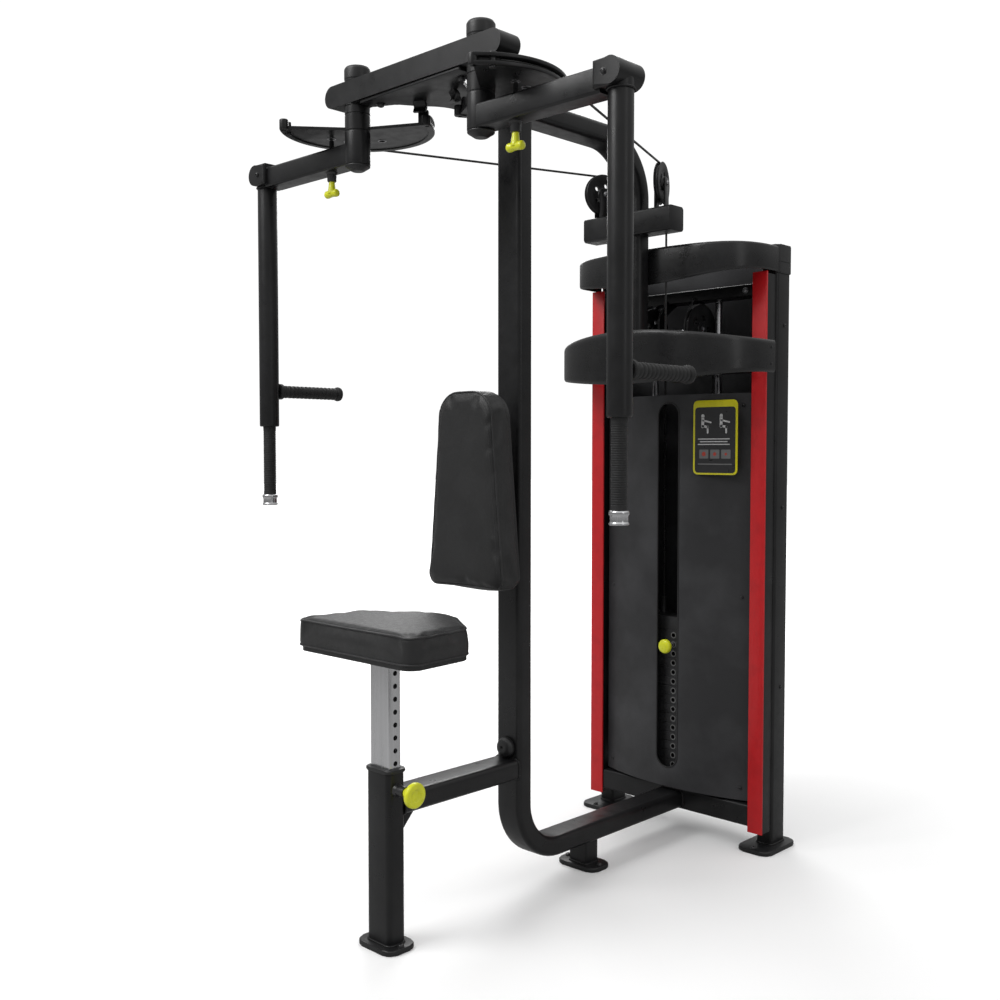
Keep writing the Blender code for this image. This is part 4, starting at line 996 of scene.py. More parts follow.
def seat_pad():
    """The five-sided seat: a crowned top and a band round the side, joined by piping, over a board."""
    corner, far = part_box("seat_pad")
    inset = -0.0028
    side, rear_side = far.x - inset, far.x - 0.012 - inset
    front, back = corner.y + inset, far.y - inset
    shoulder = corner.y + 0.185
    half = arc((side - 0.032, front + 0.032), 0.032, -90, 0, 8)
    half += [(rear_side, shoulder - 0.02), (rear_side - 0.01, shoulder), (0.040, back)]
    outline = softened(half + [(-x, y) for x, y in reversed(half)], 0.014, closed=True)
    board = corner.z + 0.009
    top = far.z - 0.003
    shape = bmesh.new()
    add_prism(shape, outline, board, top, bevel=0.004, segments=4)
    pad = inflated("seat_cushion", shape, lambda place: place.z < board + HELD_BAND, 0.005, LEATHER, "seat",
                   "seat_pad")
    middle_y = (front + back) / 2

    def scaled(share):
        return [(x * share, middle_y + (y - middle_y) * share) for x, y in outline]

    rim = resampled([(x, y, top - 0.0017) for x, y in outline], SEAM_STEP)
    seam("seat_piping", pad, rim, 0.0022, "seat")
    stitches("seat_stitching", pad, [(x, y, top + 0.004) for x, y in scaled(0.955)], "seat")
    low_rim = resampled([(x, y, board + 0.004) for x, y in scaled(1.004)], SEAM_STEP)
    seam("seat_base_piping", pad, low_rim, 0.0016, "seat", 0.0008)
    prism("seat_board", scaled(0.97), corner.z, board + 0.003, CAP, "seat", bevel=0.001)


def back_pad():
    """The tapered back pad with a round top, its side band and its piping."""
    corner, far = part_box("back_pad")
    inset = -0.0022
    half_low, half_top = far.x - inset, 0.0905 - inset
    low_z, top_z = corner.z + inset, far.z - inset
    half = arc((half_low - 0.028, low_z + 0.028), 0.028, -90, 0, 8)
    half += arc((half_top - 0.068, top_z - 0.068), 0.068, 8, 90, 12)
    outline = half + [(-x, z) for x, z in reversed(half)][1:]
    board, face = far.y - 0.009, corner.y + 0.003
    shape = bmesh.new()
    add_prism(shape, outline, face, board, "XZ", bevel=0.005, segments=4)
    pad = inflated("back_cushion", shape, lambda place: place.y > board - HELD_BAND, 0.005, LEATHER, "frame",
                   "back_pad")
    rim = resampled([(x, face + 0.002, z) for x, z in outline], SEAM_STEP)
    seam("back_piping", pad, rim, 0.0022, "frame")
    middle_z = (low_z + top_z) / 2
    row = [(x * 0.88, face - 0.004, middle_z + (z - middle_z) * 0.965) for x, z in outline]
    stitches("back_stitching", pad, row, "frame")
    trimmed = [(x * 0.95, middle_z + (z - middle_z) * 0.98) for x, z in outline]
    prism("back_board", trimmed, board - 0.003, far.y, CAP, "frame", "XZ", bevel=0.001)


def back_pad_bracket():
    """The steel plate behind the pad and the block that carries it on the mast."""
    corner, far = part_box("back_pad_plate")
    shape = bmesh.new()
    add_prism(shape, rounded(far.x, (far.z - corner.z) / 2, 0.018, (0, (far.z + corner.z) / 2)), corner.y,
              corner.y + 0.006, "XZ", bevel=0.0012)
    piece("back_plate", shape, BLACK_COAT, "frame", slot="frame_paint", stands_for=["back_pad_plate"])
    carrier = block("back_pad_carrier", (-0.025, corner.y + 0.005, 0.980), (0.025, far.y, 1.035), BLACK_COAT,
                    "frame", bevel=0.004)
    cut(carrier, rods([(0, (corner.y + far.y) / 2 + 0.004, 1.0075)], (1, 0, 0), 0.009, -0.04, 0.04))
    spots = [(x, corner.y + 0.006, z) for x in (-0.048, 0.048) for z in (0.885, 1.135)]
    bolts("back_plate_bolts", spots, (0, 1, 0), 0.004, "frame", ZINC)


# ---------------------------------------------------------------- cams and arms

CAM_R = 0.182
CABLE_LINE_R = 0.172
CAM_MIDDLE, CAM_HALF = 129, 101
CABLE_END, CAM_CABLE_LEAVES = 212, 122
ARM_DROP = 0.076
ARM_HIGH = 0.050


def cam_bottom(word):
    return low(f"cam_{word}").z


def cam_point(side, reach, turn):
    return (side * (PIVOT_X - reach * math.cos(turn)), PIVOT_Y + reach * math.sin(turn))


def cam(word, side):
    """A sector plate with index holes, the grooved rim that the cable lies in, its hub and its lug."""
    body, node = f"{word}_cam", f"cam_{word}"
    turns = [math.radians(CAM_MIDDLE - CAM_HALF + 2 * CAM_HALF * step / 72) for step in range(73)]
    half = 0.012
    centre = (side * PIVOT_X, PIVOT_Y)
    shape = bmesh.new()
    outline = [cam_point(side, CAM_R - 0.012, turn) for turn in turns] + [centre]
    add_prism(shape, outline, CAM_Z - half + 0.0025, CAM_Z - half + 0.0095)
    plate = piece(f"cam_plate_{word}", shape, BLACK_COAT, body)
    section = [(-half, -0.016), (half, -0.016), (half, 0.0), (0.0045, 0.0), (0.0035, -0.0105),
               (-0.0035, -0.0105), (-0.0045, 0.0), (-half, 0.0)]
    section = softened(section, 0.0018, closed=True)
    rim = bmesh.new()
    bridge(rim, [[rim.verts.new((*cam_point(side, CAM_R + out, turn), CAM_Z + up)) for up, out in section]
                 for turn in turns])
    for turn in (turns[0], turns[-1]):
        tip = facing((*cam_point(side, CAM_R - 0.0105, turn), CAM_Z), (0, 0, 1))
        spin(rim, softened(rod(0.0105, half, -half), 0.003), tip, 28)
    piece(f"cam_rim_{word}", rim, BLACK_COAT, body, slot="frame_paint", stands_for=[node])
    index_turns = [math.radians(degrees) for degrees in (180, 155, 130, 105)]
    index_holes = [(*cam_point(side, 0.100, turn), CAM_Z) for turn in index_turns]
    cut(plate, rods(index_holes, (0, 0, 1), 0.0076, -0.03, 0.03))
    rims = bmesh.new()
    foot = CAM_Z - half + 0.0016
    for place in index_holes:
        ring = [(0.0108, 0.0012), (0.0078, 0.0012), (0.0078, 0.0), (0.0108, 0.0)]
        spin(rims, ring, facing((place[0], place[1], foot), (0, 0, 1)), 28)
    piece(f"cam_bushes_{word}", rims, ZINC, body)
    web_turn = math.radians(CAM_MIDDLE)
    near, far_end = cam_point(side, 0.028, web_turn), cam_point(side, CAM_R - 0.015, web_turn)
    across = Vector((far_end[1] - near[1], near[0] - far_end[0])).normalized() * 0.003
    web = [(end[0] + across.x * way, end[1] + across.y * way)
           for end, way in ((near, 1), (far_end, 1), (far_end, -1), (near, -1))]
    prism(f"cam_web_{word}", web, CAM_Z - half + 0.009, CAM_Z + half - 0.003, BLACK_COAT, body, bevel=0.0006)
    corner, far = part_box(node)
    hub = [(0, far.z), (0.0285, far.z), (0.0285, far.z - 0.0035), (0.030, far.z - 0.0045),
           (0.030, corner.z + 0.003), (0.0285, corner.z + 0.002), (0.0285, corner.z), (0, corner.z)]
    lathe(f"cam_hub_{word}", hub, BLACK_COAT, body, (side * PIVOT_X, PIVOT_Y, 0), steps=64)
    lug_turn = math.radians(31.5)
    lug_place = Matrix.Translation((*cam_point(side, STOP_R, lug_turn), 0))
    block(f"cam_lug_{word}", (-0.012, -0.006, CAM_Z - half + 0.009), (0.012, 0.006, far.z), BLACK_COAT, body,
          bevel=0.0018, matrix=lug_place @ Matrix.Rotation(-side * lug_turn, 4, "Z"))
    anchor_place = (*cam_point(side, CABLE_LINE_R - 0.003, math.radians(217)), 0)
    lathe(f"cable_anchor_{word}", rod(0.0075, CAM_Z + half + 0.004, CAM_Z - half - 0.003), BLACK_BOLT, body,
          anchor_place, soft=0.0012)


def arm(word, side):
    """One swinging arm: barrel, beam, round-ended block, upright, hand tube and both grips."""
    body = f"{word}_arm"
    node = f"arm_beam_{word}"
    corner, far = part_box(node)
    x, arm_x = side * PIVOT_X, side * ARM_X
    beam_bottom = cam_bottom(word) - ARM_DROP
    beam_top = beam_bottom + ARM_HIGH
    beam_z = (beam_bottom + beam_top) / 2
    tube_top = high(f"arm_tube_{word}").z
    inner, outer = sorted((x + side * 0.012, arm_x - side * 0.030))
    shape = bmesh.new()
    section = rounded(0.0275, 0.025, 0.006, (PIVOT_Y, beam_z), 4)
    add_prism(shape, section, inner, outer, "YZ")
    piece(f"arm_{word}", shape, BLACK_COAT, body, slot="frame_paint", stands_for=[node])
    lathe(f"arm_barrel_{word}", rod(0.030, cam_bottom(word) - 0.0003, beam_bottom - 0.0002), BLACK_COAT, body,
          (x, PIVOT_Y, 0), soft=0.0016, steps=56)
    block_low, block_top = tube_top + 0.0003, tube_top + 0.0523
    reach = (block_top - block_low) / 2
    middle_z = (block_top + block_low) / 2
    outer_x = far.x if side > 0 else corner.x
    inner_x, round_x = outer_x - side * 0.067, outer_x - side * reach
    turns = [math.radians(-90 + 180 * step / 24) for step in range(25)]
    half_ring = [(round_x + side * math.cos(turn) * reach, middle_z + math.sin(turn) * reach) for turn in turns]
    outline = half_ring + [(inner_x, block_top), (inner_x, block_low)]
    end_shape = bmesh.new()
    add_prism(end_shape, outline, corner.y, far.y, "XZ", bevel=0.006, segments=4)
    spin(end_shape, rod(0.0255, middle_z, block_low), facing((arm_x, PIVOT_Y, 0), (0, 0, 1)), 56)
    piece(f"arm_end_{word}", end_shape, BLACK_COAT, body)
    bolts(f"arm_end_bolt_{word}", [(arm_x - side * 0.012, corner.y, middle_z)], (0, -1, 0), 0.0034, body)
    ring = [(inner_x - side * 0.0006, PIVOT_Y + a, beam_z + b) for a, b in rounded(0.0278, 0.0252, 0.006)]
    ring = [point for point in ring if point[2] > block_low]
    weld_bead(f"arm_end_weld_{word}", ring, body, 0.0022)
    pin_x = middle(f"rom_pin_{word}").x
    boss = [(0, beam_bottom), (0.015, beam_bottom), (0.0118, beam_bottom - 0.005), (0.0110, corner.z + 0.002),
            (0.0095, corner.z), (0, corner.z)]
    housing = lathe(f"index_housing_{word}", boss, BLACK_BOLT, body, (pin_x, PIVOT_Y, 0), soft=0.001)
    cut(housing, rods([(pin_x, PIVOT_Y, 0)], (0, 0, 1), 0.0066, corner.z - 0.01, beam_bottom + 0.01))
    foot = low(f"arm_tube_{word}").z
    upright = [(0, tube_top), (0.025, tube_top), (0.025, foot + 0.003), (0.0235, foot), (0, foot)]
    lathe(f"arm_upright_{word}", upright, BLACK_COAT, body, (arm_x, PIVOT_Y, 0), soft=0.001, steps=56,
          slot="frame_paint", stands_for=[f"arm_tube_{word}"])
    bead_r, turns = 0.0262, [math.radians(12 * step) for step in range(30)]
    collar_ring = [(arm_x + bead_r * math.cos(turn), PIVOT_Y + bead_r * math.sin(turn), tube_top - 0.0012)
                   for turn in turns]
    weld_bead(f"upright_bead_{word}", collar_ring, body, 0.0022, closed=True)
    hand(word, body, arm_x)
    rear_grip(word, body, arm_x)


def hand(word, body, arm_x):
    """The slim rubber-covered hand tube with its chrome end."""
    corner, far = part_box(f"hand_tube_{word}")
    ring_z = corner.z + 0.028
    profile = [(0, far.z), (0.0165, far.z)]
    grooves = 34
    for step in range(grooves):
        z = far.z - 0.012 - (far.z - ring_z - 0.020) * step / grooves
        profile += [(0.0160, z), (0.0153, z - 0.0008), (0.0153, z - 0.0020), (0.0160, z - 0.0028)]
    profile += [(0.0160, ring_z + 0.003), (0.0165, ring_z), (0, ring_z)]
    lathe(f"hand_grip_{word}", profile, RUBBER, body, (arm_x, PIVOT_Y, 0), steps=48,
          slot="grip_rubber", stands_for=[f"hand_tube_{word}"])
    cap = [(0, ring_z), (0.0182, ring_z), (0.0200, ring_z - 0.003), (0.0200, ring_z - 0.008),
           (0.0178, ring_z - 0.0105), (0.0178, corner.z + 0.006), (0.0198, corner.z + 0.004),
           (0.0198, corner.z + 0.001), (0.0180, corner.z), (0, corner.z)]
    lathe(f"hand_end_{word}", cap, CHROME, body, (arm_x, PIVOT_Y, 0), soft=0.0012, steps=56)


def rear_grip(word, body, arm_x):
    """The ribbed grip that points back, with a collar at its root and a bulb at its end."""
    corner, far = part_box(f"rear_grip_{word}")
    start, end = corner.y - PIVOT_Y, far.y - PIVOT_Y
    z = (corner.z + far.z) / 2
    profile = [(0, end), (0.010, end), (0.0185, end - 0.004), (0.0195, end - 0.010), (0.0175, end - 0.016),
               (0.0135, end - 0.018)]
    ribs = 13
    length = end - start - 0.018 - 0.020
    pitch = length / ribs
    for step in range(ribs):
        top = end - 0.019 - length * step / ribs
        profile += [(0.0132, top), (0.0162, top - pitch * 0.22), (0.0165, top - pitch * 0.5),
                    (0.0162, top - pitch * 0.78)]
    profile += [(0.0135, start + 0.016), (0.0205, start + 0.012), (0.0205, start + 0.003), (0.017, start),
                (0, start)]
    lathe(f"rear_grip_rubber_{word}", profile, RUBBER, body, (arm_x, PIVOT_Y, z), (0, 1, 0), soft=0.0008,
          steps=40, slot="grip_rubber", stands_for=[f"rear_grip_{word}"])


def index_pin(word):
    """The yellow two-lobed pull under each arm, with its cone and its steel pin."""
    body = f"{word}_index_pin"
    corner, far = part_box(f"rom_pin_{word}")
    x = (corner.x + far.x) / 2
    half = (far.x - corner.x) / 2
    bar_z = corner.z + 0.011
    shape = bmesh.new()
    lobes = []
    steps = 28
    for step in range(steps + 1):
        along = math.cos(math.pi * step / steps)
        swell = 0.0078 + 0.0030 * abs(along) ** 1.5
        lobes.append((swell * math.sqrt(max(0.0, 1 - along ** 8)), along * half))
    lobes[0], lobes[-1] = (0, half), (0, -half)
    spin(shape, lobes, facing((x, PIVOT_Y, bar_z), (1, 0, 0)), 32)
    neck = [(0, 0.030), (0.0072, 0.030), (0.0078, 0.020), (0.0095, 0.008), (0.0105, 0.0), (0, 0.0)]
    spin(shape, softened(neck, 0.0015), facing((x, PIVOT_Y, bar_z), (0, 0, 1)), 32)
    piece(f"index_pull_{word}", shape, YELLOW, body, slot="yellow_plastic", stands_for=[f"rom_pin_{word}"],
          sharp=60)
    pin = [(0, far.z), (0.0042, far.z), (0.0058, far.z - 0.004), (0.0058, bar_z + 0.029), (0, bar_z + 0.029)]
    lathe(f"index_pin_steel_{word}", pin, BLACK_BOLT, body, (x, PIVOT_Y, 0))


# ---------------------------------------------------------------- tower

POST_FRONT = 0.551
RAIL_X = 0.280
ROD_X = 0.110
CABLE_X = 0.0827
PLATE_HALF_X, PLATE_HALF_Y = 0.140, 0.055
PLATE_PITCH, PLATE_HIGH, PLATE_GAP = 0.0272, 0.0265, 0.0007


def columns():
    """Each tower column: a dark front rail, a rear tube, its red front strip and its cap."""
    for word, side in SIDES:
        strip_low, strip_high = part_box(f"red_strip_{word}")
        column_low, column_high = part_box(f"column_{word}")
        cap_low, cap_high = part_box(f"column_cap_{word}")
        x = (column_low.x + column_high.x) / 2
        post_half_y = (column_high.y - POST_FRONT) / 2
        post = rounded(0.025, post_half_y, 0.009, (x, POST_FRONT + post_half_y))
        shape = bmesh.new()
        add_prism(shape, post, column_low.z, column_high.z)
        rail_x = side * RAIL_X
        add_prism(shape, rounded(0.020, 0.029, 0.005, (rail_x, 0.536)), strip_low.z, 1.585, bevel=0.0012)
        piece(f"tower_post_{word}", shape, BLACK_COAT, "frame", slot="frame_paint",
              stands_for=[f"column_{word}"])
        strip = rounded((strip_high.x - strip_low.x) / 2, (strip_high.y - strip_low.y) / 2, 0.0022,
                        (rail_x, (strip_low.y + strip_high.y) / 2), 4)
        prism(f"tower_strip_{word}", strip, strip_low.z, strip_high.z, RED, "frame", bevel=0.0008,
              slot="red_trim", stands_for=[f"red_strip_{word}"])
        half_x, half_y = (cap_high.x - cap_low.x) / 2, (cap_high.y - cap_low.y) / 2
        centre = ((cap_low.x + cap_high.x) / 2, (cap_low.y + cap_high.y) / 2)
        shape = bmesh.new()
        add_prism(shape, rounded(half_x, half_y, 0.010, centre), cap_low.z, cap_high.z, bevel=0.004, segments=4)
        cap = piece(f"tower_cap_{word}", shape, CAP, "frame", slot="cover_plastic",
                    stands_for=[f"column_cap_{word}"])
        seam_low = cap_low.z + 0.030
        seam_high = seam_low + 0.0016
        groove = bmesh.new()
        add_prism(groove, rounded(half_x + 0.01, half_y + 0.01, 0.010, centre), seam_low, seam_high)
        kept = rounded(half_x - 0.0016, half_y - 0.0016, 0.0085, centre)
        add_prism(groove, kept[::-1], seam_low, seam_high)
        cut(cap, groove)
        spots = [(side * 0.305, 0.590, z) for z in (0.45, 0.95, 1.45)]
        bolts(f"tower_side_bolts_{word}", spots, (side, 0, 0), 0.0028, "frame")
        foot = [(x + a, POST_FRONT + post_half_y + b, FOOT_TOP + 0.001)
                for a, b in rounded(0.025, post_half_y, 0.009)]
        weld_bead(f"tower_foot_weld_{word}", foot, "frame", closed=True)


def bulge(half, base, depth, power, count):
    """A bowed outline from one side to the other: points (x, y)."""
    made = []
    for index in range(count + 1):
        turn = math.pi * index / count
        across = math.copysign(abs(math.cos(turn)) ** (2 / power), -math.cos(turn)) * half
        made.append((across, base - math.sin(turn) ** (2 / power) * depth))
    return made


def bowed(x, half, end, centre):
    """A height that runs from one value at the sides to another at the middle."""
    return end + (centre - end) * math.cos(math.pi / 2 * max(-1, min(1, x / half)))


def shrouds():
    """The moulded top cover with its lid, and the belt cover below it."""
    corner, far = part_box("top_shroud")
    half, base, depth, power = far.x, 0.548, 0.211, 3.0
    line = bulge(half, base, depth, power, 96)
    top = far.z
    levels = (0.0, 0.04, 0.10, 0.5, 0.90, 0.955, 0.985, 1.0)
    insets = (0.0028, 0.0008, 0.0, 0.0, 0.0, 0.0010, 0.0034, 0.0075)
    rows = []
    for level, inset in zip(levels, insets):
        row = []
        for x, y in line:
            bottom = bowed(x, half, 1.5935, corner.z)
            shrink = 1 - inset / half
            row.append((x * shrink, base - (base - y) * (1 - inset / depth), bottom + (top - bottom) * level))
        rows.append(row)
    shape = bmesh.new()
    add_sheet(shape, rows, 0.0038)
    lid_line = [(x * (1 - 0.004 / half), base - (base - y) * (1 - 0.004 / depth)) for x, y in line]
    add_prism(shape, lid_line, top - 0.0105, top - 0.0035, bevel=0.001)
    piece("top_cover", shape, COVER, "frame", slot="cover_plastic", stands_for=["top_shroud"], sharp=40)
    corner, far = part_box("belt_shroud")
    half, base, depth, power = far.x, 0.497, 0.231, 2.5
    line = bulge(half, base, depth, power, 96)
    rows = []
    for level, inset in ((0.0, 0.0045), (0.03, 0.0018), (0.07, 0.0004), (0.13, 0.0), (0.5, 0.0), (0.87, 0.0),
                         (0.93, 0.0004), (0.97, 0.0018), (1.0, 0.0045)):
        row = []
        for x, y in line:
            bottom, upper = bowed(x, half, 1.316, corner.z), bowed(x, half, 1.402, far.z)
            row.append((x * (1 - inset / half), base - (base - y) * (1 - inset / depth),
                        bottom + (upper - bottom) * level))
        rows.append(row)
    shape = bmesh.new()
    add_sheet(shape, rows, 0.0040)
    piece("belt_cover", shape, COVER, "frame", slot="cover_plastic", stands_for=["belt_shroud"], sharp=40)
    for word, side in SIDES:
        spots = [(side * 0.3328, 0.478, z) for z in (1.338, 1.382)]
        bolts(f"belt_screws_{word}", spots, (side, 0, 0), 0.0018, "frame")


def panel_y(x, half, base, depth):
    """The y of a bowed panel, which stands depth in front of its side edges at the middle."""
    return base - depth * (1 - (x / half) ** 2)


def panel_rows(half, base, depth, bottom, top, count=64):
    xs = [half * (2 * index / count - 1) for index in range(count + 1)]
    return [[(x, panel_y(x, half, base, depth), z) for x in xs] for z in (bottom, top)]


WINDOW_HALF, WINDOW_BOTTOM, WINDOW_TOP = 0.0365, 0.187, 1.245
SCREW_X = 0.225


def panels():
    """The grey front panel with the trimmed window over the weights, and the rear panel."""
    corner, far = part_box("front_panel")
    half, base, depth = far.x, 0.525, 0.047
    shape = bmesh.new()
    add_sheet(shape, panel_rows(half, base, depth, corner.z, far.z), 0.0028)
    front = piece("tower_front", shape, PANEL_COAT, "frame", slot="panel_paint", stands_for=["front_panel"])
    outline = arc((0, WINDOW_TOP - WINDOW_HALF), WINDOW_HALF, 0, 180, 14)
    outline += arc((0, WINDOW_BOTTOM + WINDOW_HALF), WINDOW_HALF, 180, 360, 14)
    window = bmesh.new()
    add_prism(window, outline, 0.40, 0.60, "XZ")
    cut(front, window)
    lip_path = [(x, panel_y(x, half, base, depth) + 0.0015, z) for x, z in outline]
    tube("window_trim", resampled(lip_path, 0.012), rounded(0.0030, 0.0022, 0.0012, count=3), CAP, "frame",
         up=(0, 1, 0), closed=True)
    spots = [(x, panel_y(x, half, base, depth), z) for x in (-SCREW_X, SCREW_X) for z in (0.165, 0.7, 1.232)]
    bolts("panel_screws", spots, (0, -1, 0), 0.0026, "frame")
    edges = bmesh.new()
    for z in (corner.z, far.z - 0.008):
        rows = panel_rows(half, base + 0.0030, depth, z, z + 0.008)
        add_sheet(edges, rows, 0.010)
    piece("tower_front_flanges", edges, PANEL_COAT, "frame")
    corner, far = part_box("rear_panel")
    half, base, depth = far.x, 0.600, -0.080
    shape = bmesh.new()
    add_sheet(shape, panel_rows(half, base, depth, corner.z, far.z), -0.0026)
    piece("tower_back", shape, PANEL_COAT, "frame", slot="panel_paint", stands_for=["rear_panel"])
    spots = [(x, panel_y(x, half, base, depth), z) for x in (-SCREW_X, SCREW_X) for z in (0.165, 0.84, 1.525)]
    bolts("rear_panel_screws", spots, (0, 1, 0), 0.0026, "frame")


BEAM_BOLT_X = 0.215


def beams():
    """The cross beams of the tower with their bolts and flanges."""
    corner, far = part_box("base_beam")
    half_z, post_top = 0.030, 0.150
    centre = ((far.y + corner.y) / 2, corner.z + half_z)
    shape = bmesh.new()
    add_prism(shape, rounded((far.y - corner.y) / 2, half_z, 0.006, centre), corner.x, far.x, "YZ")
    for x in (-ROD_X, ROD_X):
        spin(shape, rod(0.0215, post_top, corner.z + 2 * half_z), facing((x, STACK_Y, 0), (0, 0, 1)), 40)
    piece("tower_base", shape, BLACK_COAT, "frame", slot="frame_paint", stands_for=["base_beam"])
    shape = bmesh.new()
    for x in (-ROD_X, ROD_X):
        ring = [(0.022, post_top), (0.022, far.z - 0.004), (0.0185, far.z), (0.0112, far.z), (0.0112, post_top)]
        spin(shape, softened(ring, 0.001, closed=True), facing((x, STACK_Y, 0), (0, 0, 1)), 44)
    piece("stack_buffers", shape, RUBBER, "frame")
    corner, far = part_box("mid_beam")
    front, back, z = 0.469, 0.535, 1.348
    shape = bmesh.new()
    add_prism(shape, rounded((back - front) / 2, 0.028, 0.006, ((back + front) / 2, z)), corner.x, far.x, "YZ")
    add_prism(shape, rounded(0.030, 0.028, 0.006, (0, z)), corner.y, front + 0.003, "XZ")
    piece("tower_middle", shape, BLACK_COAT, "frame", slot="frame_paint", stands_for=["mid_beam"])
    spots = [(x, front, z) for x in (-BEAM_BOLT_X, BEAM_BOLT_X)]
    bolts("middle_bolts", spots, (0, -1, 0), 0.005, "frame", ZINC)
    corner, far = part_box("top_beam")
    front, back, z = 0.535, 0.590, 1.549
    shape = bmesh.new()
    add_prism(shape, rounded((back - front) / 2, 0.017, 0.005, ((back + front) / 2, z)), corner.x, far.x, "YZ")
    for x in (-0.049, 0.049):
        hanger = [(0.4939, 1.428), (0.5299, 1.428), (0.5299, 1.500), (back, 1.538), (back, 1.545),
                  (front, 1.545), (0.4939, 1.490)]
        add_prism(shape, softened(hanger, 0.007, closed=True), x - 0.004, x + 0.004, "YZ", bevel=0.001)
    piece("tower_top", shape, BLACK_COAT, "frame", slot="frame_paint", stands_for=["top_beam"])
    spots = [(x, front, z) for x in (-BEAM_BOLT_X, BEAM_BOLT_X)]
    bolts("top_bolts", spots, (0, -1, 0), 0.0042, "frame", ZINC)
    for word, way in (("bolts", -1), ("nuts", 1)):
        bolts(f"hanger_{word}", [(0.053 * way, 0.5119, 1.450)], (way, 0, 0), 0.004, "frame", ZINC)


def guide_rods():
    for word, _ in SIDES:
        node = f"guide_rod_{word}"
        corner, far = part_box(node)
        place = ((corner.x + far.x) / 2, (corner.y + far.y) / 2, 0)
        lathe(f"guide_{word}", rod((far.x - corner.x) / 2, far.z, corner.z), STEEL, "frame", place, soft=0.001,
              slot="bright_steel", stands_for=[node])


def plate_outline():
    return rounded(PLATE_HALF_X, PLATE_HALF_Y, 0.009, (0, STACK_Y), 5)


def weight_stack():
    """Every plate of the stack on its own, the head plate, the rod down the middle and its pin."""
    corner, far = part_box("lower_weight_plates")
    lifted_low, lifted_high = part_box("lifted_plates")
    starts = [corner.z + PLATE_PITCH * step for step in range(13)]
    lower = [(start, start + PLATE_HIGH) for start in starts]
    pitch = (lifted_high.z - lifted_low.z + PLATE_GAP) / 2
    upper = [(lifted_low.z + pitch * step, lifted_low.z + pitch * (step + 1) - PLATE_GAP) for step in range(2)]
    front = STACK_Y - PLATE_HALF_Y
    for name, body, spans, node in (("stack_plates", "frame", lower, "lower_weight_plates"),
                                    ("upper_plates", "weight_stack", upper, "lifted_plates")):
        shape = bmesh.new()
        for bottom, top in spans:
            add_prism(shape, plate_outline(), bottom, top, bevel=0.0018, segments=2)
        plates = piece(name, shape, IRON, body, slot="plate_iron", stands_for=[node])
        spots = [(0, front, (bottom + top) / 2) for bottom, top in spans]
        cut(plates, rods(spots, (0, 1, 0), 0.0062, -0.02, 0.050, 20))
        rings = bmesh.new()
        for spot in spots:
            ring = [(0.0092, 0.0006), (0.0064, 0.0006), (0.0064, -0.004), (0.0092, -0.004)]
            spin(rings, ring, facing(spot, (0, -1, 0)), 20)
        piece(f"{name}_rings", rings, SIGN_GREY, body)
    corner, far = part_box("head_plate")
    block_top = corner.z + 0.040
    shape = bmesh.new()
    add_prism(shape, plate_outline(), corner.z, block_top, bevel=0.003)
    for x in (-CABLE_X, CABLE_X):
        socket = [(0, far.z), (0.0075, far.z), (0.008, far.z - 0.002), (0.008, block_top + 0.012),
                  (0.013, block_top), (0, block_top)]
        spin(shape, socket, facing((x, 0.5769, 0), (0, 0, 1)), 28)
    piece("head_block", shape, IRON, "weight_stack", slot="plate_iron", stands_for=["head_plate"])
    sleeves = bmesh.new()
    for x in (-ROD_X, ROD_X):
        ring = [(0.017, block_top + 0.007), (0.0108, block_top + 0.007), (0.0108, block_top),
                (0.017, block_top)]
        spin(sleeves, softened(ring, 0.001, closed=True), facing((x, STACK_Y, 0), (0, 0, 1)), 32)
    piece("head_bushes", sleeves, SIGN_GREY, "weight_stack")
    corner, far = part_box("selector_rod")
    lathe("stack_rod", rod((far.x - corner.x) / 2, far.z, corner.z), STEEL, "weight_stack", (0, STACK_Y, 0),
          soft=0.0015, slot="bright_steel", stands_for=["selector_rod"])
    selector()


def selector():
    """The pin that picks the weight: a round yellow knob on a steel stem."""
    corner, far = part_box("selector_pin")
    knob_end, knob_foot = corner.y, 0.486
    shape = bmesh.new()
    knob = [(0, -knob_end), (0.010, -knob_end), (0.0185, -knob_end - 0.003), (0.0205, -knob_end - 0.008),
            (0.0205, -knob_end - 0.014), (0.016, -knob_end - 0.020), (0.0095, -knob_foot), (0, -knob_foot)]
    spin(shape, softened(knob, 0.002), facing((0, 0, PIN_Z), (0, -1, 0)), 48)
    piece("selector_knob", shape, YELLOW, "selector", slot="yellow_plastic", stands_for=["selector_pin"])
    stem = [(0, -knob_foot + 0.001), (0.0048, -knob_foot + 0.001), (0.0048, -far.y + 0.003), (0.003, -far.y),
            (0, -far.y)]
    lathe("selector_stem", stem, STEEL, "selector", (0, 0, PIN_Z), (0, -1, 0))


# ---------------------------------------------------------------- pulleys and cables

PULLEY_LIP = 0.006
PULLEY_R = 0.050
TOWER_PULLEY_R = 0.065
BRACKET_TOP = 1.755


def wheel_profile(radius, width, bore):
    """A pulley's outline: lips, cable groove, dished sides, hub."""
    half, lip = width / 2, radius + PULLEY_LIP
    groove = arc((radius + 0.0030, 0), 0.0034, 100, 260, 10)
    inner = radius - 0.012
    upper = [(bore, half), (bore + 0.009, half), (bore + 0.011, half - 0.003), (inner - 0.004, half - 0.003),
             (inner, half - 0.0008), (lip - 0.001, half - 0.0008), (lip, half - 0.0022)]
    lower = [(r, -h) for r, h in reversed(upper)]
    return upper + groove + lower


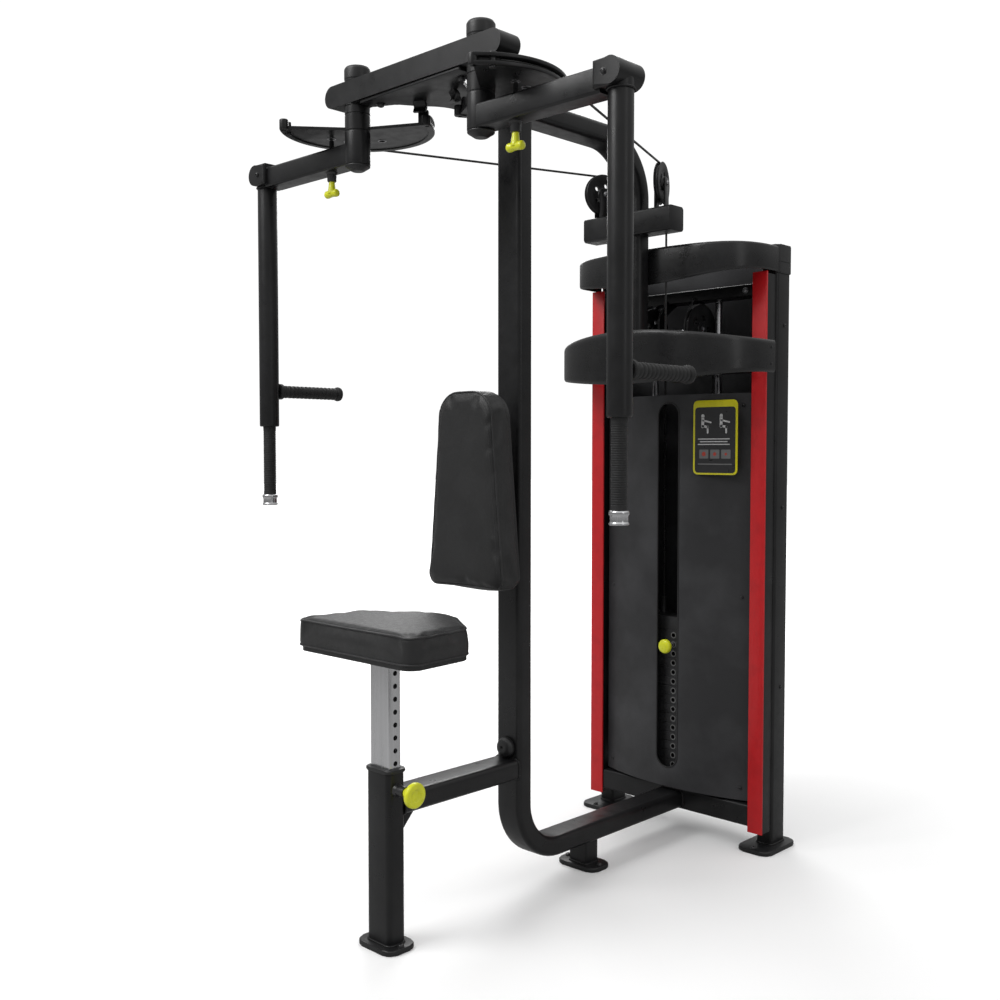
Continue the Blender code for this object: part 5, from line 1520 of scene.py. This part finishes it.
def wheel(name, place, axis, radius, body, node=None):
    """A pulley with five round holes and a steel bearing."""
    shape = bmesh.new()
    spin(shape, wheel_profile(radius, 0.016, 0.0085), facing(place, axis), 72)
    more = {"slot": "cover_plastic", "stands_for": [node]} if node else {}
    obj = piece(name, shape, CAP, body, **more)
    holes = bmesh.new()
    for index in range(5):
        turn = math.radians(72 * index)
        reach = radius * 0.52
        spot = facing(place, axis) @ Vector((reach * math.cos(turn), reach * math.sin(turn), 0))
        spin(holes, rod(radius * 0.13, 0.02, -0.02), facing(spot, axis), 24)
    cut(obj, holes)
    hub = [(0.0084, 0.0086), (0.0052, 0.0086), (0.0052, -0.0086), (0.0084, -0.0086)]
    shape = bmesh.new()
    spin(shape, hub, facing(place, axis), 32)
    piece(f"{name}_bearing", shape, STEEL, body)


def pulleys():
    """The bar with its two forks and top pulleys, and the two pairs of pulleys inside the tower."""
    corner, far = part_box("pulley_bracket")
    for word, _ in SIDES:
        joint = f"top_pulley_{word}_turn"
        place = joint_place(joint)
        axis = next(item["axis"] for item in frame["joints"] if item["name"] == joint)
        wheel(f"high_pulley_{word}", place, axis, PULLEY_R, f"{word}_top_pulley", f"top_pulley_{word}")
        flat = Vector((axis[0], axis[1], 0)).normalized()
        away = Vector((-flat.y, flat.x, 0))
        shape = bmesh.new()
        strap_half, strap_middle = (far.z - BRACKET_TOP) / 2 + 0.006, (far.z + BRACKET_TOP) / 2 - 0.006
        strap = rounded(0.018, strap_half, 0.0085, (0, strap_middle))
        for way in (-1, 1):
            leaf = place + flat * 0.0132 * way
            turn = Matrix(((away.x, 0, flat.x, leaf.x), (away.y, 0, flat.y, leaf.y),
                           (0, 1, 0, 0), (0, 0, 0, 1)))
            made = bmesh.new()
            add_prism(made, strap, -0.002, 0.002, bevel=0.0006)
            bmesh.ops.transform(made, matrix=turn, verts=made.verts)
            mesh = bpy.data.meshes.new("leaf")
            made.to_mesh(mesh)
            made.free()
            shape.from_mesh(mesh)
            bpy.data.meshes.remove(mesh)
        piece(f"pulley_fork_{word}", shape, BLACK_COAT, "frame")
        for number, way in enumerate((-1, 1)):
            spot = tuple(place + flat * 0.0152 * way)
            bolts(f"pulley_bolt_{word}_{number}", [spot], tuple(flat * way), 0.0038, "frame", ZINC)
        base = [(place.x + a, place.y + b, BRACKET_TOP) for a, b in rounded(0.018, 0.014, 0.006)]
        weld_bead(f"pulley_weld_{word}", base, "frame", 0.0018, closed=True)
    shape = bmesh.new()
    half_y = (far.y - corner.y) / 2
    add_prism(shape, rounded(half_y, 0.0325, 0.007, ((far.y + corner.y) / 2, 1.7225)), corner.x, far.x, "YZ",
              bevel=0.0015)
    piece("pulley_bar", shape, BLACK_COAT, "frame", slot="frame_paint", stands_for=["pulley_bracket"])
    reach = CABLE_X + 0.008
    for node, radius, body in (("redirect_pulleys", PULLEY_R, "redirect_pulley_pair"),
                               ("tower_pulleys", TOWER_PULLEY_R, "tower_pulley_pair")):
        place = joint_place(f"{node}_turn")
        wheel(f"{node}_left", (-CABLE_X, place.y, place.z), (1, 0, 0), radius, body, node)
        wheel(f"{node}_right", (CABLE_X, place.y, place.z), (1, 0, 0), radius, body)
        lathe(f"{node}_axle", rod(0.0052, reach, -reach), STEEL, body, (0, place.y, place.z), (1, 0, 0),
              soft=0.0008)


CABLE_R = 0.0030
OFF_AXIS = (0.123, 0.456, 0.881)


def groove_points(side, start, end, count):
    """Points along the cam's cable line, from one angle to another in degrees."""
    turns = [math.radians(start + (end - start) * index / count) for index in range(count + 1)]
    return [Vector((*cam_point(side, CABLE_LINE_R, turn), CAM_Z)) for turn in turns]


def cables():
    """Each pull cable from its cam over three pulleys to the stack, and the lift cable that hangs straight down
    to the stack.
    """
    redirect, tower = joint_place("redirect_pulleys_turn"), joint_place("tower_pulleys_turn")
    for word, side in SIDES:
        place = joint_place(f"top_pulley_{word}_turn")
        leave = Vector((side * 0.367, -0.427))
        leave_turn = math.degrees(math.atan2(leave.y - PIVOT_Y, PIVOT_X - abs(leave.x))) % 360
        path = groove_points(side, CABLE_END, leave_turn, 40)
        path.append(Vector((place.x, place.y, CAM_Z)))
        toward = Vector((side * -0.3454, 0.9385, 0))
        for step in range(1, 13):
            turn = math.radians(90 * step / 12)
            rise = Vector((0, 0, PULLEY_R * math.cos(turn)))
            path.append(place + toward * (PULLEY_R * math.sin(turn)) + rise)
        fall_x = side * CABLE_X
        for wheel_place, radius, sweep in ((redirect, PULLEY_R, 180), (tower, TOWER_PULLEY_R, -180)):
            path.append(Vector((fall_x, wheel_place.y - radius, wheel_place.z)))
            for step in range(1, 15):
                turn = math.radians(180 + sweep * step / 14)
                path.append(Vector((fall_x, wheel_place.y + radius * math.cos(turn),
                                    wheel_place.z + radius * math.sin(turn))))
        stack_y = tower.y + TOWER_PULLEY_R
        path.append(Vector((fall_x, stack_y, 1.438)))
        cable(f"pull_cable_{word}", path, "frame", stands_for=[f"cable_{word}"], slot="cable_coat")
        cable(f"cam_cable_{word}", groove_points(side, CABLE_END, CAM_CABLE_LEAVES, 30), f"{word}_cam",
              radius=0.0026)
        top = high(f"lift_cable_{word}").z
        lift = tube(f"stack_cable_{word}", [(fall_x, stack_y, top - 0.010 * step) for step in range(78)],
                    circle(CABLE_R, 12), CABLE_SKIN, "frame", up=OFF_AXIS, sharp=60,
                    stands_for=[f"lift_cable_{word}"], slot="cable_coat")
        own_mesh(lift)


def cable(name, path, body, radius=CABLE_R, **more):
    """A cable that starts level, with a section that turns with its path, so that no bend pinches it."""
    shape = bmesh.new()
    rings = []
    across = Vector((0, 0, 1))
    for index, point in enumerate(path):
        along = (path[min(index + 1, len(path) - 1)] - path[max(index - 1, 0)]).normalized()
        across = (across - along * across.dot(along)).normalized()
        out = along.cross(across)
        rings.append([shape.verts.new(point + across * a + out * b) for a, b in circle(radius, 12)])
    bridge(shape, rings)
    piece(name, shape, CABLE_SKIN, body, sharp=60, **more)


# ---------------------------------------------------------------- placard

def add_flat(shape, outline, front, depth=0.0004):
    add_prism(shape, outline, front - depth, front, "XZ")


def figure(shape, centre_x, foot_z, front, reach):
    """A seated figure sign: head, trunk, thigh, shin and an arm that reaches out."""
    head = circle(0.0052, 18)
    add_flat(shape, [(centre_x + a, foot_z + 0.0480 + b) for a, b in head], front)
    knee = reach * 0.62
    turns = [math.radians(60 - 30 * step) for step in range(5)]
    limbs = (((0, 0.040), (0, 0.020), 0.0052), ((0, 0.020), (knee, 0.017), 0.0036),
             ((knee, 0.017), (knee, 0.002), 0.0030), ((0, 0.036), (reach, 0.030), 0.0026))
    for (x0, z0), (x1, z1), half in limbs:
        start, end = Vector((centre_x + x0, foot_z + z0)), Vector((centre_x + x1, foot_z + z1))
        along = (end - start).normalized()
        out = Vector((-along.y, along.x)) * half
        tip = [tuple(end + along * half * math.cos(turn) + out * math.sin(turn)) for turn in turns]
        back = [tuple(start - along * half * math.cos(turn) - out * math.sin(turn)) for turn in turns]
        add_flat(shape, tip + back, front)


def placard():
    """The instruction placard: a yellow border with a tab on top, and picture signs without words."""
    corner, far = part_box("placard")
    half_x, half_z = (far.x - corner.x) / 2, (far.z - corner.z) / 2
    x, z = (far.x + corner.x) / 2, (far.z + corner.z) / 2
    face = corner.y
    print_y, pane_z = face + 0.0005, z - 0.046
    prism("placard_board", rounded(half_x, half_z, 0.014, (x, z), 8), face + 0.0008, far.y, SIGN_YELLOW,
          "frame", "XZ", bevel=0.0006, slot="sign_print", stands_for=["placard"])
    inner = rounded(half_x - 0.006, half_z - 0.012, 0.010, (x, z - 0.007), 8)
    prism("placard_face", inner, print_y, face + 0.0012, SIGN_FACE, "frame", "XZ")
    pale, grey, red = bmesh.new(), bmesh.new(), bmesh.new()
    for figure_x in (x - 0.040, x + 0.020):
        figure(pale, figure_x, z + 0.012, print_y, 0.026)
    for step in range(3):
        width = 0.052 - 0.007 * (step % 2)
        add_flat(pale, rounded(width, 0.0013, 0.0012, (x - 0.004, z - 0.004 - 0.0075 * step), 3), print_y)
        pane_x = x - 0.036 + 0.036 * step
        add_flat(grey, rounded(0.0150, 0.0125, 0.002, (pane_x, pane_z), 4), print_y)
        mark = circle(0.0062 - 0.0012 * step, 20)
        add_flat(red, [(pane_x + a, pane_z + b) for a, b in mark], face + 0.0002)
    add_flat(grey, rounded(0.055, 0.0016, 0.001, (x, z - 0.074), 3), print_y)
    piece("placard_signs", pale, SIGN_PALE, "frame")
    piece("placard_panes", grey, SIGN_GREY, "frame")
    piece("placard_marks", red, SIGN_RED, "frame")


# ---------------------------------------------------------------- whole machine

camera()
studio()
floor()

mast()
rear_tube()
pivot_bar()
pivot_ends()
bar_bracket()
seat_support()
mast_cover()
feet()
seat_post()
seat_knob()
seat_pad()
back_pad()
back_pad_bracket()
for word, side in SIDES:
    cam(word, side)
    arm(word, side)
    index_pin(word)
columns()
shrouds()
panels()
beams()
guide_rods()
weight_stack()
pulleys()
cables()
placard()
